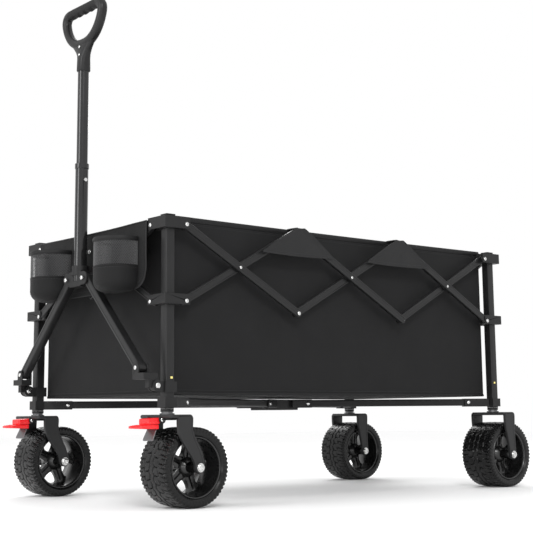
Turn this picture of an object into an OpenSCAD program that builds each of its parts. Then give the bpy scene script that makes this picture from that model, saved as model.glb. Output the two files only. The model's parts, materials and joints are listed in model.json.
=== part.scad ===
/* [Frame] */
// Distance between the centres of the front and rear posts
post_span_x = 1194; // [1050:2:1400]
// Distance between the centres of the near and far posts
post_span_y = 625; // [560:1:720]
// Width of each square post
post_w = 25; // [22:0.5:28]
// Wall of each square post
post_wall = 1.6; // [1.2:0.1:2.5]
// Height of the rim above the ground
rim_z = 702; // [660:1:780]
// Height of the lower end of the posts above the ground
post_foot_z = 233; // [225:1:240]

/* [Scissor bars] */
// Distance from a post's centre to the rivet of its bracket
ear_reach = 39; // [36:0.5:46]
// Length of a bar from the rivet at a post to its crossing pivot
outer_arm = 194.5; // [185:0.5:205]
// Height of the upper rivet below the rim
top_rivet_drop = 23; // [20:1:30]
// Height between the upper rivet and the slider's rivet
rivet_gap = 188; // [170:1:210]
// Height of a flat bar
bar_h = 20; // [16:0.5:24]
// Thickness of a flat bar
bar_t = 9; // [7:0.5:10]
// Radius of every scissor rivet
rivet_r = 3; // [2.5:0.1:4]

/* [Floor bars] */
// Distance from a post's centre to the pivot of its floor bar
gusset_reach = 82; // [76:1:100]
// Distance from the point where the floor bars would meet to each pivot of the hub
hub_reach = 41.4; // [38:0.2:60]
// Width of a floor bar
floor_bar_w = 16; // [12:0.5:20]
// Height of a floor bar
floor_bar_h = 20; // [16:0.5:22]

/* [Wheels] */
// Radius of the wheels
wheel_r = 95; // [85:1:104]
// Width of the tyres
wheel_w = 108; // [90:1:112]
// Thickness of the tyre ring
tyre_t = 22; // [16:1:28]
// Radius of each axle
axle_r = 6; // [5:0.25:8]
// How far the front axle trails behind its swivel
trail = 50; // [40:1:60]
// How far the rear axle stands behind its post
rear_offset = 8; // [0:1:14]

/* [Handle] */
// Distance from a front post's centre forward to the handle's hinge bolt
hinge_reach = 35; // [34:0.5:40]
// Distance from a front post's centre forward to the plane of the handle's legs
leg_reach = 58; // [56:0.5:64]
// Width of a handle leg
leg_w = 22; // [18:0.5:24]
// Sideways distance from the handle's middle to each rivet of the yoke
yoke_half = 40; // [38:0.5:46]
// Height of the yoke's rivets above the ground
yoke_z = 568; // [556:1:580]
// Radius of the outer tube of the pole
pole_r = 17; // [15:0.5:19]
// Height of the upper end of the outer tube
pole_top_z = 872; // [850:1:900]
// Height of the upper end of the inner tube
inner_top_z = 1160; // [1120:1:1200]
// Width of the grip
grip_w = 205; // [170:1:220]
// Height of the grip above the inner tube
grip_h = 172; // [150:1:190]

/* [Fabric] */
// Thickness of the fabric walls and floor
fabric_t = 4; // [3:0.5:6]
// Radius of each cup holder
cup_r = 62; // [52:1:66]
// Depth of each cup holder
cup_h = 135; // [115:1:150]
// Sideways distance from the middle to a cup holder's centre
cup_y = 160; // [140:1:175]
// Wall of a cup holder
cup_wall = 5; // [4:0.5:8]

/* [Hidden] */
$fn = 64;

hx = post_span_x / 2;
hy = post_span_y / 2;
half_post = post_w / 2;
seat_gap = 0.3;
run_gap = 0.08;
// Brackets and sliders
collar_t = 4;
collar_half = half_post + seat_gap + collar_t;
plate_t = 3;
top_rivet_z = rim_z - top_rivet_drop;
slider_rivet_z = top_rivet_z - rivet_gap;
top_bracket_low = 11;
top_bracket_high = 18;
slider_low = 9;
slider_high = 17;
ear_r = 10;
lock_h = 5;
lock_out = 1.6;
layer_gap = 0.8;
// Layer 0 lies next to the post, layer 1 outside it
layer_0 = 3.6 + bar_t / 2;
layer_1 = layer_0 + bar_t + layer_gap;
inner_plate = layer_0 - bar_t / 2 - 0.4 - plate_t;
outer_plate = layer_1 + bar_t / 2 + 0.4;
head_r = 5.5;
head_t = 2.2;
head_gap = 0.15;
// Scissor geometry, with every bar at the same slope
slope = asin(rivet_gap / 2 / outer_arm);
cross_z = (top_rivet_z + slider_rivet_z) / 2;
inner_arm = ((post_span_x - 2 * ear_reach) / cos(slope) - 2 * outer_arm) / 4;
end_arm = (post_span_y - 2 * ear_reach) / cos(slope) / 2 - outer_arm;
side_step = 2 * inner_arm * cos(slope);
end_cross = hy - ear_reach - outer_arm * cos(slope);
// Floor bars run along the line that each post travels while folding
run_x = hx - ear_reach;
run_y = hy - ear_reach;
run_angle = atan2(run_y, run_x);
floor_bar = norm([run_x, run_y]) - gusset_reach - hub_reach;
gusset_z = post_foot_z + 5 + floor_bar_h / 2 + 0.5;
gusset_low = post_foot_z + 3;
gusset_high = gusset_z + floor_bar_h / 2 + 1;
cheek_gap = 0.5;
hub_x = hx - (gusset_reach + floor_bar) * cos(run_angle);
hub_y = hy - (gusset_reach + floor_bar) * sin(run_angle);
// Front lower bracket and handle
hinge_z = 287;
hinge_bracket_low = 272;
hinge_bracket_high = 297;
hinge_r = 14;
lock_z = hinge_bracket_high + 7;
hinge_bolt_r = 4;
tongue_w = 16;
knuckle_in = 27.5;
knuckle_z = 330;
knuckle_end_r = leg_w / 2 + 1;
knuckle_low = hinge_z + hinge_r + 1;
leg_dy = hy - knuckle_in - yoke_half;
leg_dz = yoke_z - knuckle_z;
leg_len = sqrt(leg_dy * leg_dy + leg_dz * leg_dz);
leg_angle = atan2(leg_dz, leg_dy);
leg_cheek = leg_w / 2 + 0.5;
inner_r = pole_r - 2.2;
inner_low_z = 800;
button_z = 829;
button_r = 3.5;
// Casters
stem_r = 9;
fork_top_z = post_foot_z - 14;
fork_t = 4;
fork_in = wheel_w / 2 + 3;
rim_r = wheel_r - tyre_t;
pedal_x = 31;
pedal_z = fork_top_z - fork_t - 8;
pedal_half = 23;
// Fabric
wall_in = collar_half + 0.4;
wall_low = 266;
wall_high = rim_z - 1;
organiser_x = outer_plate + plate_t + head_t + 0.8;
organiser_low = 528;
organiser_high = 693;
organiser_half = 262;
cup_x = 55;
cup_top = 655;
// The origin is under the middle of the whole wagon
reach_rear = hx + rear_offset + wheel_r;
reach_front = hx + cup_x + cup_r;
shift_x = (reach_front - reach_rear) / 2;

module placed() {
    translate([shift_x, 0, 0]) children();
}

// A corner's own frame: its post at the origin, +X and +Y pointing out of the wagon
module corner(sx, sy) {
    placed() translate([sx * hx, sy * hy, 0]) mirror([sx < 0 ? 1 : 0, 0, 0]) mirror([0, sy < 0 ? 1 : 0, 0])
        children();
}

module square_ring(outer_half, inner_half, low, high) {
    translate([0, 0, low]) linear_extrude(high - low) difference() {
        square(2 * outer_half, center = true);
        square(2 * inner_half, center = true);
    }
}

// A rivet along +Y from y0 to y1, with a head at each end
module rivet(y0, y1, r = rivet_r) {
    low = y0 - head_gap;
    high = y1 + head_gap;
    rotate([-90, 0, 0]) {
        translate([0, 0, low]) cylinder(r = r, h = high - low);
        translate([0, 0, high]) cylinder(r1 = head_r * r / 3, r2 = head_r * r / 3 - 1.5, h = head_t,
            $fn = 32);
        translate([0, 0, low - 1.2]) cylinder(r = head_r * r / 3 - 0.8, h = 1.2, $fn = 32);
    }
}

module bush(y0, y1) {
    rotate([-90, 0, 0]) translate([0, 0, y0]) difference() {
        cylinder(r = 6.5, h = y1 - y0, $fn = 32);
        translate([0, 0, -1]) cylinder(r = rivet_r + 0.05, h = y1 - y0 + 2);
    }
}

// Two plates of a clevis, reaching inward from a post's collar to a rivet, seen along +Y outward
module clevis_plates(z, low, high) {
    for (y = [inner_plate, outer_plate]) difference() {
        translate([-ear_reach - ear_r, y, z - low])
            cube([ear_reach + ear_r - half_post, plate_t, low + high]);
        translate([-ear_reach, y - 1, z]) rotate([-90, 0, 0]) cylinder(r = rivet_r + 0.05, h = plate_t + 2);
    }
}

// Collar round a post with a clevis toward the side bars and one toward the end bars
module bracket_body(z, low, high) {
    difference() {
        union() {
            square_ring(collar_half, half_post + seat_gap, z - low, z + high);
            for (m = [0, 1]) mirror([m, -m, 0]) {
                clevis_plates(z, low, high);
                // Web that carries the outer plate round the corner
                translate([-half_post - 6, collar_half - 1, z - low])
                    cube([half_post + 6 + outer_plate + plate_t, outer_plate + plate_t - collar_half + 1,
                        low + high]);
            }
        }
        translate([0, 0, z]) cube([2 * (half_post + seat_gap), 2 * (half_post + seat_gap), 200],
            center = true);
        for (m = [0, 1]) mirror([m, -m, 0]) translate([-ear_reach, -50, z]) rotate([-90, 0, 0])
            cylinder(r = rivet_r + 0.05, h = 100);
    }
}

// Rivets and bushes of a bracket: the bar runs in layer side_layer on the long side and end_layer on the end
module bracket_rivets(z, side_layer, end_layer) {
    for (m = [0, 1]) mirror([m, -m, 0]) translate([-ear_reach, 0, z]) {
        layer = m == 0 ? side_layer : end_layer;
        rivet(inner_plate, outer_plate + plate_t);
        if (layer == 1) bush(layer_0 - bar_t / 2, layer_0 + bar_t / 2);
        else bush(layer_1 - bar_t / 2, layer_1 + bar_t / 2);
    }
}

module gusset() {
    difference() {
        union() {
            square_ring(collar_half, half_post + seat_gap, gusset_low, gusset_high);
            for (s = [-1, 1]) rotate(run_angle) translate([
                -gusset_reach - 12,
                s * (floor_bar_w / 2 + cheek_gap + plate_t / 2) - plate_t / 2,
                gusset_low
            ]) cube([gusset_reach + 12 - half_post - 4, plate_t, gusset_high - gusset_low]);
        }
        translate([0, 0, gusset_z]) cube([2 * (half_post + seat_gap), 2 * (half_post + seat_gap), 200],
            center = true);
        rotate(run_angle) translate([-gusset_reach, 0, gusset_z]) rotate([90, 0, 0])
            cylinder(r = rivet_r + 0.05, h = 100, center = true);
    }
    rotate(run_angle) translate([-gusset_reach, 0, gusset_z])
        rivet(-floor_bar_w / 2 - cheek_gap - plate_t, floor_bar_w / 2 + cheek_gap + plate_t);
}

// Bracket of a front post that carries the handle's hinge
module hinge_bracket() {
    ear_y = tongue_w / 2 + 0.5;
    difference() {
        union() {
            square_ring(collar_half, half_post + seat_gap, hinge_bracket_low, hinge_bracket_high);
            for (s = [-1, 1]) {
                translate([half_post + 1, s > 0 ? ear_y : -ear_y - 4, hinge_bracket_low])
                    cube([hinge_reach - half_post - 1, 4, hinge_bracket_high - hinge_bracket_low]);
                translate([hinge_reach, s > 0 ? ear_y : -ear_y - 4, hinge_z]) rotate([-90, 0, 0])
                    cylinder(r = hinge_r, h = 4);
            }
        }
        translate([0, 0, hinge_z]) cube([2 * (half_post + seat_gap), 2 * (half_post + seat_gap), 200],
            center = true);
        translate([hinge_reach, 0, hinge_z]) rotate([90, 0, 0])
            cylinder(r = hinge_bolt_r + 0.05, h = 100, center = true);
    }
    translate([hinge_reach, 0, hinge_z]) rivet(-ear_y - 4, ear_y + 4, hinge_bolt_r);
}

module post(sx, sy) {
    corner(sx, sy) {
        square_ring(half_post, half_post - post_wall, post_foot_z, rim_z - 2);
        // Cap on the upper end, bush in the lower end
        translate([0, 0, rim_z - 1.7]) linear_extrude(3) square(post_w + 1, center = true);
        difference() {
            translate([0, 0, post_foot_z - 7]) cylinder(r = 16, h = 6.7);
            translate([0, 0, post_foot_z - 8]) cylinder(r = stem_r + run_gap, h = 9);
        }
        bracket_body(top_rivet_z, top_bracket_low, top_bracket_high);
        bracket_rivets(top_rivet_z, side_top_layer(sx), end_top_layer(sy));
        gusset();
        if (sx < 0) hinge_bracket();
        // Snap button of the lower lock
        translate([-6, half_post + seat_gap, lock_z]) cube([6, lock_out, lock_h]);
    }
}

// Layer of the bar held at the top of each corner, along the side and along the end
function side_top_layer(sx) = sx < 0 ? 1 : 0;
function end_top_layer(sy) = sy < 0 ? 1 : 0;

module slider(sx, sy) {
    corner(sx, sy) {
        difference() {
            bracket_body(slider_rivet_z, slider_low, slider_high);
            // Groove that passes over the lock's snap button
            translate([-7, half_post, slider_rivet_z - slider_low - 1])
                cube([8, seat_gap + lock_out + 0.6, slider_low + 6]);
        }
        bracket_rivets(slider_rivet_z, 1 - side_top_layer(sx), 1 - end_top_layer(sy));
    }
}

// Flat bar along X about its crossing pivot, a to the left and b to the right, layers outward along +Y.
// Rivets pass inward through the bar of layer 0 where closed is 1, and stop short of it where it is 0.
module flat_bar(a, b, layer, closed) {
    y = layer == 1 ? layer_1 : layer_0;
    ends = [-a, 0, b];
    difference() {
        translate([0, y - bar_t / 2, 0]) rotate([-90, 0, 0]) union() {
            translate([-a, -bar_h / 2, 0]) cube([a + b, bar_h, bar_t]);
            for (e = [-a, b]) translate([e, 0, 0]) cylinder(r = bar_h / 2, h = bar_t);
        }
        for (e = ends) translate([e, y - bar_t, 0]) rotate([-90, 0, 0])
            cylinder(r = rivet_r + run_gap, h = 2 * bar_t);
    }
    if (layer == 1) for (i = [0 : 2]) {
        if (closed[i] == 1) translate([ends[i], 0, 0])
            rivet(layer_0 - bar_t / 2 - 0.2, layer_1 + bar_t / 2 + 0.1);
        if (closed[i] == 0) translate([ends[i], 0, 0])
            rivet(layer_1 - bar_t / 2 + 1.2, layer_1 + bar_t / 2 + 0.1);
    }
}

// Bar number k (1 to 3) of a long side, sloping down or up toward the rear
module side_bar(sy, k, down) {
    a = k == 1 ? outer_arm : inner_arm;
    b = k == 3 ? outer_arm : inner_arm;
    closed = k == 1 ? [2, 1, 1] : k == 2 ? [1, 1, 0] : [0, 1, 2];
    placed() mirror([0, sy < 0 ? 1 : 0, 0]) translate([(k - 2) * side_step, hy, cross_z])
        rotate([0, down ? slope : -slope, 0]) flat_bar(a, b, down ? 1 : 0, closed);
}

// Bar of an end, on the near or far half, sloping down or up toward the middle
module end_bar(sx, sy, down) {
    outside = down ? end_top_layer(sy) : 1 - end_top_layer(sy);
    placed() mirror([sx < 0 ? 1 : 0, 0, 0]) translate([hx, 0, cross_z]) mirror([0, sy < 0 ? 1 : 0, 0])
        translate([0, end_cross, 0]) mirror([1, -1, 0]) rotate([0, down ? -slope : slope, 0])
            flat_bar(end_arm, outer_arm, outside, [0, 1, 2]);
}

module floor_bar_at(sx, sy) {
    corner(sx, sy) rotate(run_angle) translate([-gusset_reach - floor_bar, 0, gusset_z]) difference() {
        rotate([90, 0, 0]) translate([0, 0, -floor_bar_w / 2]) union() {
            translate([0, -floor_bar_h / 2, 0]) cube([floor_bar, floor_bar_h, floor_bar_w]);
            for (e = [0, floor_bar]) translate([e, 0, 0]) cylinder(r = floor_bar_h / 2, h = floor_bar_w);
        }
        for (e = [0, floor_bar]) translate([e, 0, 0]) rotate([90, 0, 0])
            cylinder(r = rivet_r + run_gap, h = 60, center = true);
        // Hollow section
        translate([16, -floor_bar_w / 2 + 2, -floor_bar_h / 2 + 2])
            cube([floor_bar - 32, floor_bar_w - 4, floor_bar_h - 4]);
    }
}

module hub() {
    cheek_y = floor_bar_w / 2 + cheek_gap;
    color("dimgray") {
        placed() difference() {
            union() {
                translate([-hub_x + 18, -hub_y + 20, gusset_low - 6])
                    cube([2 * hub_x - 36, 2 * hub_y - 40, gusset_high - gusset_low + 6]);
                for (sx = [-1, 1], sy = [-1, 1], s = [-1, 1])
                    mirror([sx < 0 ? 1 : 0, 0, 0]) mirror([0, sy < 0 ? 1 : 0, 0])
                        translate([hub_x, hub_y, gusset_low]) rotate(run_angle)
                            translate([-46, s > 0 ? cheek_y : -cheek_y - plate_t, 0])
                                cube([58, plate_t, gusset_high - gusset_low]);
            }
            for (sx = [-1, 1], sy = [-1, 1]) mirror([sx < 0 ? 1 : 0, 0, 0]) mirror([0, sy < 0 ? 1 : 0, 0])
                translate([hub_x, hub_y, gusset_z]) rotate(run_angle) {
                    rotate([90, 0, 0]) cylinder(r = rivet_r + 0.05, h = 2 * cheek_y + 8, center = true);
                    // Room for the end of the bar
                    translate([-12, -cheek_y, -40]) cube([40, 2 * cheek_y, 80]);
                }
        }
        for (sx = [-1, 1], sy = [-1, 1])
            placed() mirror([sx < 0 ? 1 : 0, 0, 0]) mirror([0, sy < 0 ? 1 : 0, 0])
                translate([hub_x, hub_y, gusset_z]) rotate(run_angle)
                    rivet(-cheek_y - plate_t, cheek_y + plate_t);
    }
}

// Handle parts are drawn in the near front corner's frame, or mirrored for the far one
module knuckle(sy) {
    ck = leg_cheek;
    corner(-1, sy) {
        difference() {
            union() {
                translate([hinge_reach, 0, hinge_z]) rotate([90, 0, 0])
                    cylinder(r = hinge_r - 1, h = tongue_w, center = true);
                translate([hinge_reach - 3, -tongue_w / 2, hinge_z - 4])
                    cube([leg_reach - hinge_reach + 3, tongue_w,
                        knuckle_z - knuckle_end_r - 1 - hinge_z + 4]);
                translate([leg_reach - ck - 4, -knuckle_in - knuckle_end_r, knuckle_low])
                    cube([2 * ck + 8, knuckle_in + knuckle_end_r + tongue_w / 2,
                        knuckle_z - knuckle_end_r - 1 - knuckle_low]);
                for (x = [leg_reach - ck - 4, leg_reach + ck]) {
                    translate([x, -knuckle_in - knuckle_end_r, knuckle_low])
                        cube([4, 2 * knuckle_end_r, knuckle_z - knuckle_low]);
                    translate([x, -knuckle_in, knuckle_z]) rotate([0, 90, 0])
                        cylinder(r = knuckle_end_r, h = 4);
                }
            }
            translate([hinge_reach, 0, hinge_z]) rotate([90, 0, 0])
                cylinder(r = hinge_bolt_r + run_gap, h = 60, center = true);
            translate([leg_reach, -knuckle_in, knuckle_z]) rotate([0, 90, 0])
                cylinder(r = rivet_r + 0.05, h = 60, center = true);
        }
        translate([leg_reach, -knuckle_in, knuckle_z]) rotate(-90) rivet(-ck - 4, ck + 4);
    }
}

module leg(sy) {
    corner(-1, sy) translate([leg_reach, -knuckle_in, knuckle_z]) rotate([180 - leg_angle, 0, 0])
        difference() {
        translate([-leg_w / 2, 0, 0]) rotate([0, 90, 0]) union() {
            translate([-leg_w / 2, 0, 0]) cube([leg_w, leg_len, leg_w]);
            for (e = [0, leg_len]) translate([0, e, 0]) cylinder(r = leg_w / 2, h = leg_w);
        }
        for (e = [0, leg_len]) translate([0, e, 0]) rotate([0, 90, 0])
            cylinder(r = rivet_r + run_gap, h = 60, center = true);
        translate([-leg_w / 2 + 2, 16, -leg_w / 2 + 2]) cube([leg_w - 4, leg_len - 32, leg_w - 4]);
    }
}

module yoke() {
    ck = leg_cheek;
    web = yoke_half - leg_w / 2 - 1.5;
    color("dimgray") placed() translate([-hx - leg_reach, 0, 0]) {
        difference() {
            union() {
                translate([-ck - 4, -web, yoke_z - 20]) cube([2 * ck + 8, 2 * web, 40]);
                translate([0, 0, yoke_z + 10]) cylinder(r = pole_r + 5, h = 24);
                for (s = [-1, 1], x = [-ck - 4, ck]) {
                    translate([x, s * yoke_half, yoke_z]) rotate([0, 90, 0]) cylinder(r = 17, h = 4);
                    translate([x, s > 0 ? 0 : -yoke_half, yoke_z - 17]) cube([4, yoke_half, 34]);
                }
            }
            translate([0, 0, yoke_z - 6]) cylinder(r = pole_r + seat_gap, h = 60);
            for (s = [-1, 1]) translate([0, s * yoke_half, yoke_z]) rotate([0, 90, 0])
                cylinder(r = rivet_r + 0.05, h = 60, center = true);
        }
        // The far rivet is in two halves, so that the far leg can leave the yoke while the wagon folds
        translate([0, -yoke_half, yoke_z]) rotate(-90) rivet(-ck - 4, ck + 4);
        for (s = [-1, 1]) translate([0, yoke_half, yoke_z]) rotate(s > 0 ? -90 : 90) rivet(ck + 1.3, ck + 4);
    }
}

module tube(r, wall, low, high) {
    translate([0, 0, low]) difference() {
        cylinder(r = r, h = high - low);
        translate([0, 0, -1]) cylinder(r = r - wall, h = high - low + 2);
    }
}

module pole_outer() {
    color("#2c2d30") placed() translate([-hx - leg_reach, 0, 0]) difference() {
        union() {
            tube(pole_r, pole_r - inner_r - 0.1, yoke_z - 5.5, pole_top_z);
            tube(pole_r + 1.5, 1.5 + pole_r - inner_r - 0.1, pole_top_z - 12, pole_top_z + 2);
        }
        translate([0, -pole_r, button_z]) rotate([90, 0, 0])
            cylinder(r = button_r + run_gap, h = 20, center = true);
    }
}

module pole_inner() {
    color("#3a3b3e") placed() translate([-hx - leg_reach, 0, 0]) difference() {
        tube(inner_r, 1.8, inner_low_z, inner_top_z);
        translate([0, -inner_r, button_z]) rotate([90, 0, 0])
            cylinder(r = button_r + 0.6, h = 16, center = true);
    }
}

module pole_button() {
    color("silver") placed() translate([-hx - leg_reach, -inner_r - 0.3, button_z]) rotate([90, 0, 0]) {
        cylinder(r = button_r, h = pole_r - inner_r + 2.2);
        translate([0, 0, pole_r - inner_r + 2.2]) cylinder(r = button_r + 1.2, h = 1.2);
    }
}

module grip() {
    half = grip_w / 2;
    color("#1c1c1d") placed() translate([-hx - leg_reach, 0, inner_top_z]) {
        // D-shaped ring over a neck that takes the inner tube
        translate([14, 0, 0]) rotate([90, 0, -90]) linear_extrude(28) difference() {
            hull() {
                translate([0, 26]) circle(r = 17);
                for (s = [-1, 1]) translate([s * (half - 26), grip_h - 45]) circle(r = 26);
                translate([0, grip_h - 30]) circle(r = 30);
            }
            hull() {
                translate([0, 60]) circle(r = 14);
                for (s = [-1, 1]) translate([s * (half - 38), grip_h - 52]) circle(r = 9);
            }
        }
        difference() {
            translate([0, 0, -34]) cylinder(r = inner_r + 3.5, h = 44);
            translate([0, 0, -35]) cylinder(r = inner_r + seat_gap, h = 35.3);
        }
    }
}

// A caster fork about its stem: the axle lies off behind the stem, along -X in the corner's frame
module fork_body(off, front) {
    top_l = front ? 44 : 24;
    difference() {
        union() {
            translate([-28, -fork_in - fork_t, fork_top_z - fork_t])
                cube([28 + top_l, 2 * (fork_in + fork_t), fork_t]);
            translate([0, 0, fork_top_z]) cylinder(r = stem_r, h = 20);
            translate([0, 0, fork_top_z]) cylinder(r = 15, h = 6.5);
            for (s = [-1, 1]) translate([0, s > 0 ? fork_in : -fork_in - fork_t, 0]) {
                leg_plate(off, front);
                translate([off, 0, wheel_r]) rotate([-90, 0, 0]) cylinder(r = 15, h = fork_t);
            }
        }
        translate([off, 0, wheel_r]) rotate([90, 0, 0]) cylinder(r = axle_r + 0.05, h = 400, center = true);
    }
    if (front) pedal_ears();
    // Axle bolt and nuts
    translate([off, 0, wheel_r]) rotate([90, 0, 0]) {
        cylinder(r = axle_r, h = 2 * (fork_in + fork_t), center = true);
        for (s = [-1, 1]) translate([0, 0, s * (fork_in + fork_t + 4)])
            cylinder(r = 9, h = 8, center = true, $fn = 6);
    }
}

// Ears and pin that hold the brake pedal, hanging from the fork's top plate
module pedal_ears() {
    for (s = [-1, 1]) difference() {
        translate([pedal_x - 8, s > 0 ? pedal_half + 0.5 : -pedal_half - 3.5, pedal_z - 8])
            cube([16, 3, fork_top_z - fork_t - 0.3 - pedal_z + 8]);
        translate([pedal_x, 0, pedal_z]) rotate([90, 0, 0]) cylinder(r = 3.05, h = 100, center = true);
    }
    translate([pedal_x, 0, pedal_z]) rivet(-pedal_half - 3.5, pedal_half + 3.5, 3);
}

module leg_plate(off, front) {
    w = front ? 20 : 19;
    x_top = front ? -8 : 0;
    translate([0, fork_t, 0]) rotate([90, 0, 0]) linear_extrude(fork_t) polygon([
        [x_top - w, fork_top_z], [x_top + w, fork_top_z], [x_top + w, fork_top_z - 40],
        [off + 15, wheel_r + 8], [off + 15, wheel_r], [off - 15, wheel_r],
        [off - 15, wheel_r + 8], [x_top - w, fork_top_z - 40]
    ]);
}

module fork(sx, sy) {
    color("#2a2a2b") corner(sx, sy) fork_body(sx < 0 ? -trail : rear_offset, sx < 0);
}

// Wheel along Y about its axle: tyre, then rim with five spokes and a hub
module wheel(sx, sy) {
    hub_r = 17;
    corner(sx, sy) translate([sx < 0 ? -trail : rear_offset, 0, wheel_r]) rotate([90, 0, 0]) {
        color("#1b1b1c") rotate_extrude() polygon([
            [rim_r + 0.2, -wheel_w / 2 + 4], [wheel_r - 10, -wheel_w / 2], [wheel_r - 3, -wheel_w / 2 + 5],
            [wheel_r, -wheel_w / 2 + 16], [wheel_r, wheel_w / 2 - 16], [wheel_r - 3, wheel_w / 2 - 5],
            [wheel_r - 10, wheel_w / 2], [rim_r + 0.2, wheel_w / 2 - 4]
        ]);
        color("#242425") difference() {
            union() {
                difference() {
                    cylinder(r = rim_r, h = wheel_w - 10, center = true);
                    cylinder(r = rim_r - 5, h = wheel_w, center = true);
                }
                cylinder(r = hub_r, h = 2 * fork_in - 1, center = true);
                for (i = [0 : 4]) rotate(72 * i + 18) translate([0, -9, -20]) cube([rim_r - 2, 18, 40]);
            }
            cylinder(r = axle_r + run_gap, h = 300, center = true);
        }
    }
}

// Brake pedal of a front caster, with its tongue over the tyre
module pedal(sy) {
    color("#e02428") corner(-1, sy) {
        difference() {
            union() {
                translate([pedal_x, 0, pedal_z]) rotate([90, 0, 0])
                    cylinder(r = 6.5, h = 2 * pedal_half, center = true);
                translate([pedal_x, -pedal_half, pedal_z - 5]) cube([42, 2 * pedal_half, 10]);
                translate([pedal_x + 30, -26, pedal_z - 13]) cube([44, 52, 9]);
                translate([pedal_x + 12, -20, pedal_z - 52]) rotate([0, 12, 0]) cube([2.5, 40, 50]);
            }
            translate([pedal_x, 0, pedal_z]) rotate([90, 0, 0])
                cylinder(r = 3 + run_gap, h = 60, center = true);
        }
    }
}

// Fabric wall between two corners, just inside the posts
module side_wall(sy) {
    color("#1d1e20") placed() translate([-hx + wall_in, sy > 0 ? hy - wall_in - fabric_t : -hy + wall_in,
        wall_low])
        cube([post_span_x - 2 * wall_in, fabric_t, wall_high - wall_low]);
}

module end_wall(sx) {
    inset = wall_in + fabric_t + 0.5;
    color("#1d1e20") placed() translate([sx > 0 ? hx - wall_in - fabric_t : -hx + wall_in, -hy + inset,
        wall_low])
        cube([fabric_t, post_span_y - 2 * inset, wall_high - wall_low]);
}

module fabric_floor() {
    inset = wall_in + fabric_t + 0.5;
    color("#1a1b1d") placed() translate([-hx + inset, -hy + inset, wall_low])
        cube([post_span_x - 2 * inset, post_span_y - 2 * inset, fabric_t]);
}

module cup_outline(grow) {
    intersection() {
        circle(r = cup_r + grow);
        translate([-cup_r - 50, -100]) square([cup_r + 50 + cup_x - organiser_x - 2.4 + grow, 200]);
    }
}

module organiser() {
    color("#202123") placed() {
        translate([-hx - organiser_x - 2, -organiser_half, organiser_low])
            cube([2, 2 * organiser_half, organiser_high - organiser_low]);
        // Top edge that reaches back over the bars to the front wall
        translate([-hx - organiser_x, -organiser_half + 12, organiser_high - 2])
            cube([organiser_x + wall_in - seat_gap, 2 * organiser_half - 24, 2]);
        for (s = [-1, 1]) translate([-hx - cup_x, s * cup_y, 0]) difference() {
            intersection() {
                translate([0, 0, cup_top - cup_h]) linear_extrude(cup_h) cup_outline(0);
                union() {
                    translate([0, 0, cup_top - cup_h]) cylinder(r1 = cup_r - 24, r2 = cup_r + 1, h = 26);
                    translate([0, 0, cup_top - cup_h + 26]) cylinder(r = cup_r + 1, h = cup_h);
                }
            }
            translate([0, 0, cup_top - cup_h + cup_wall + 20]) linear_extrude(cup_h) cup_outline(-cup_wall);
        }
    }
}

hub();
color("#2b2b2c") floor_bar_at(-1, -1);  // floor_bar_near_front
color("#2b2b2c") floor_bar_at(1, -1);  // floor_bar_near_rear
color("#2b2b2c") floor_bar_at(-1, 1);  // floor_bar_far_front
color("#2b2b2c") floor_bar_at(1, 1);  // floor_bar_far_rear
color("#303031") post(-1, -1);  // post_near_front
color("#303031") post(1, -1);  // post_near_rear
color("#303031") post(-1, 1);  // post_far_front
color("#303031") post(1, 1);  // post_far_rear
color("#39393b") slider(-1, -1);  // slider_near_front
color("#39393b") slider(1, -1);  // slider_near_rear
color("#39393b") slider(-1, 1);  // slider_far_front
color("#39393b") slider(1, 1);  // slider_far_rear
color("#353537") side_bar(-1, 1, true);  // near_bar_1_down
color("#4a4a4c") side_bar(-1, 1, false);  // near_bar_1_up
color("#353537") side_bar(-1, 2, true);  // near_bar_2_down
color("#4a4a4c") side_bar(-1, 2, false);  // near_bar_2_up
color("#353537") side_bar(-1, 3, true);  // near_bar_3_down
color("#4a4a4c") side_bar(-1, 3, false);  // near_bar_3_up
color("#353537") side_bar(1, 1, true);  // far_bar_1_down
color("#4a4a4c") side_bar(1, 1, false);  // far_bar_1_up
color("#353537") side_bar(1, 2, true);  // far_bar_2_down
color("#4a4a4c") side_bar(1, 2, false);  // far_bar_2_up
color("#353537") side_bar(1, 3, true);  // far_bar_3_down
color("#4a4a4c") side_bar(1, 3, false);  // far_bar_3_up
color("#353537") end_bar(-1, -1, true);  // front_bar_near_down
color("#4a4a4c") end_bar(-1, -1, false);  // front_bar_near_up
color("#353537") end_bar(-1, 1, true);  // front_bar_far_down
color("#4a4a4c") end_bar(-1, 1, false);  // front_bar_far_up
color("#353537") end_bar(1, -1, true);  // rear_bar_near_down
color("#4a4a4c") end_bar(1, -1, false);  // rear_bar_near_up
color("#353537") end_bar(1, 1, true);  // rear_bar_far_down
color("#4a4a4c") end_bar(1, 1, false);  // rear_bar_far_up
color("#333335") knuckle(-1);  // knuckle_near
color("#333335") knuckle(1);  // knuckle_far
color("#2b2b2c") leg(-1);  // leg_near
color("#2b2b2c") leg(1);  // leg_far
yoke();
pole_outer();
pole_inner();
grip();
pole_button();
fork(-1, -1);  // fork_near_front
fork(1, -1);  // fork_near_rear
fork(-1, 1);  // fork_far_front
fork(1, 1);  // fork_far_rear
wheel(-1, -1);  // wheel_near_front
wheel(1, -1);  // wheel_near_rear
wheel(-1, 1);  // wheel_far_front
wheel(1, 1);  // wheel_far_rear
pedal(-1);  // pedal_near
pedal(1);  // pedal_far
side_wall(-1);  // wall_near
side_wall(1);  // wall_far
end_wall(-1);  // wall_front
end_wall(1);  // wall_rear
fabric_floor();  // floor
organiser();
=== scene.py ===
import json
import math
import bmesh
import bpy
import numpy as np
from mathutils import Matrix, Vector, noise


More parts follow.
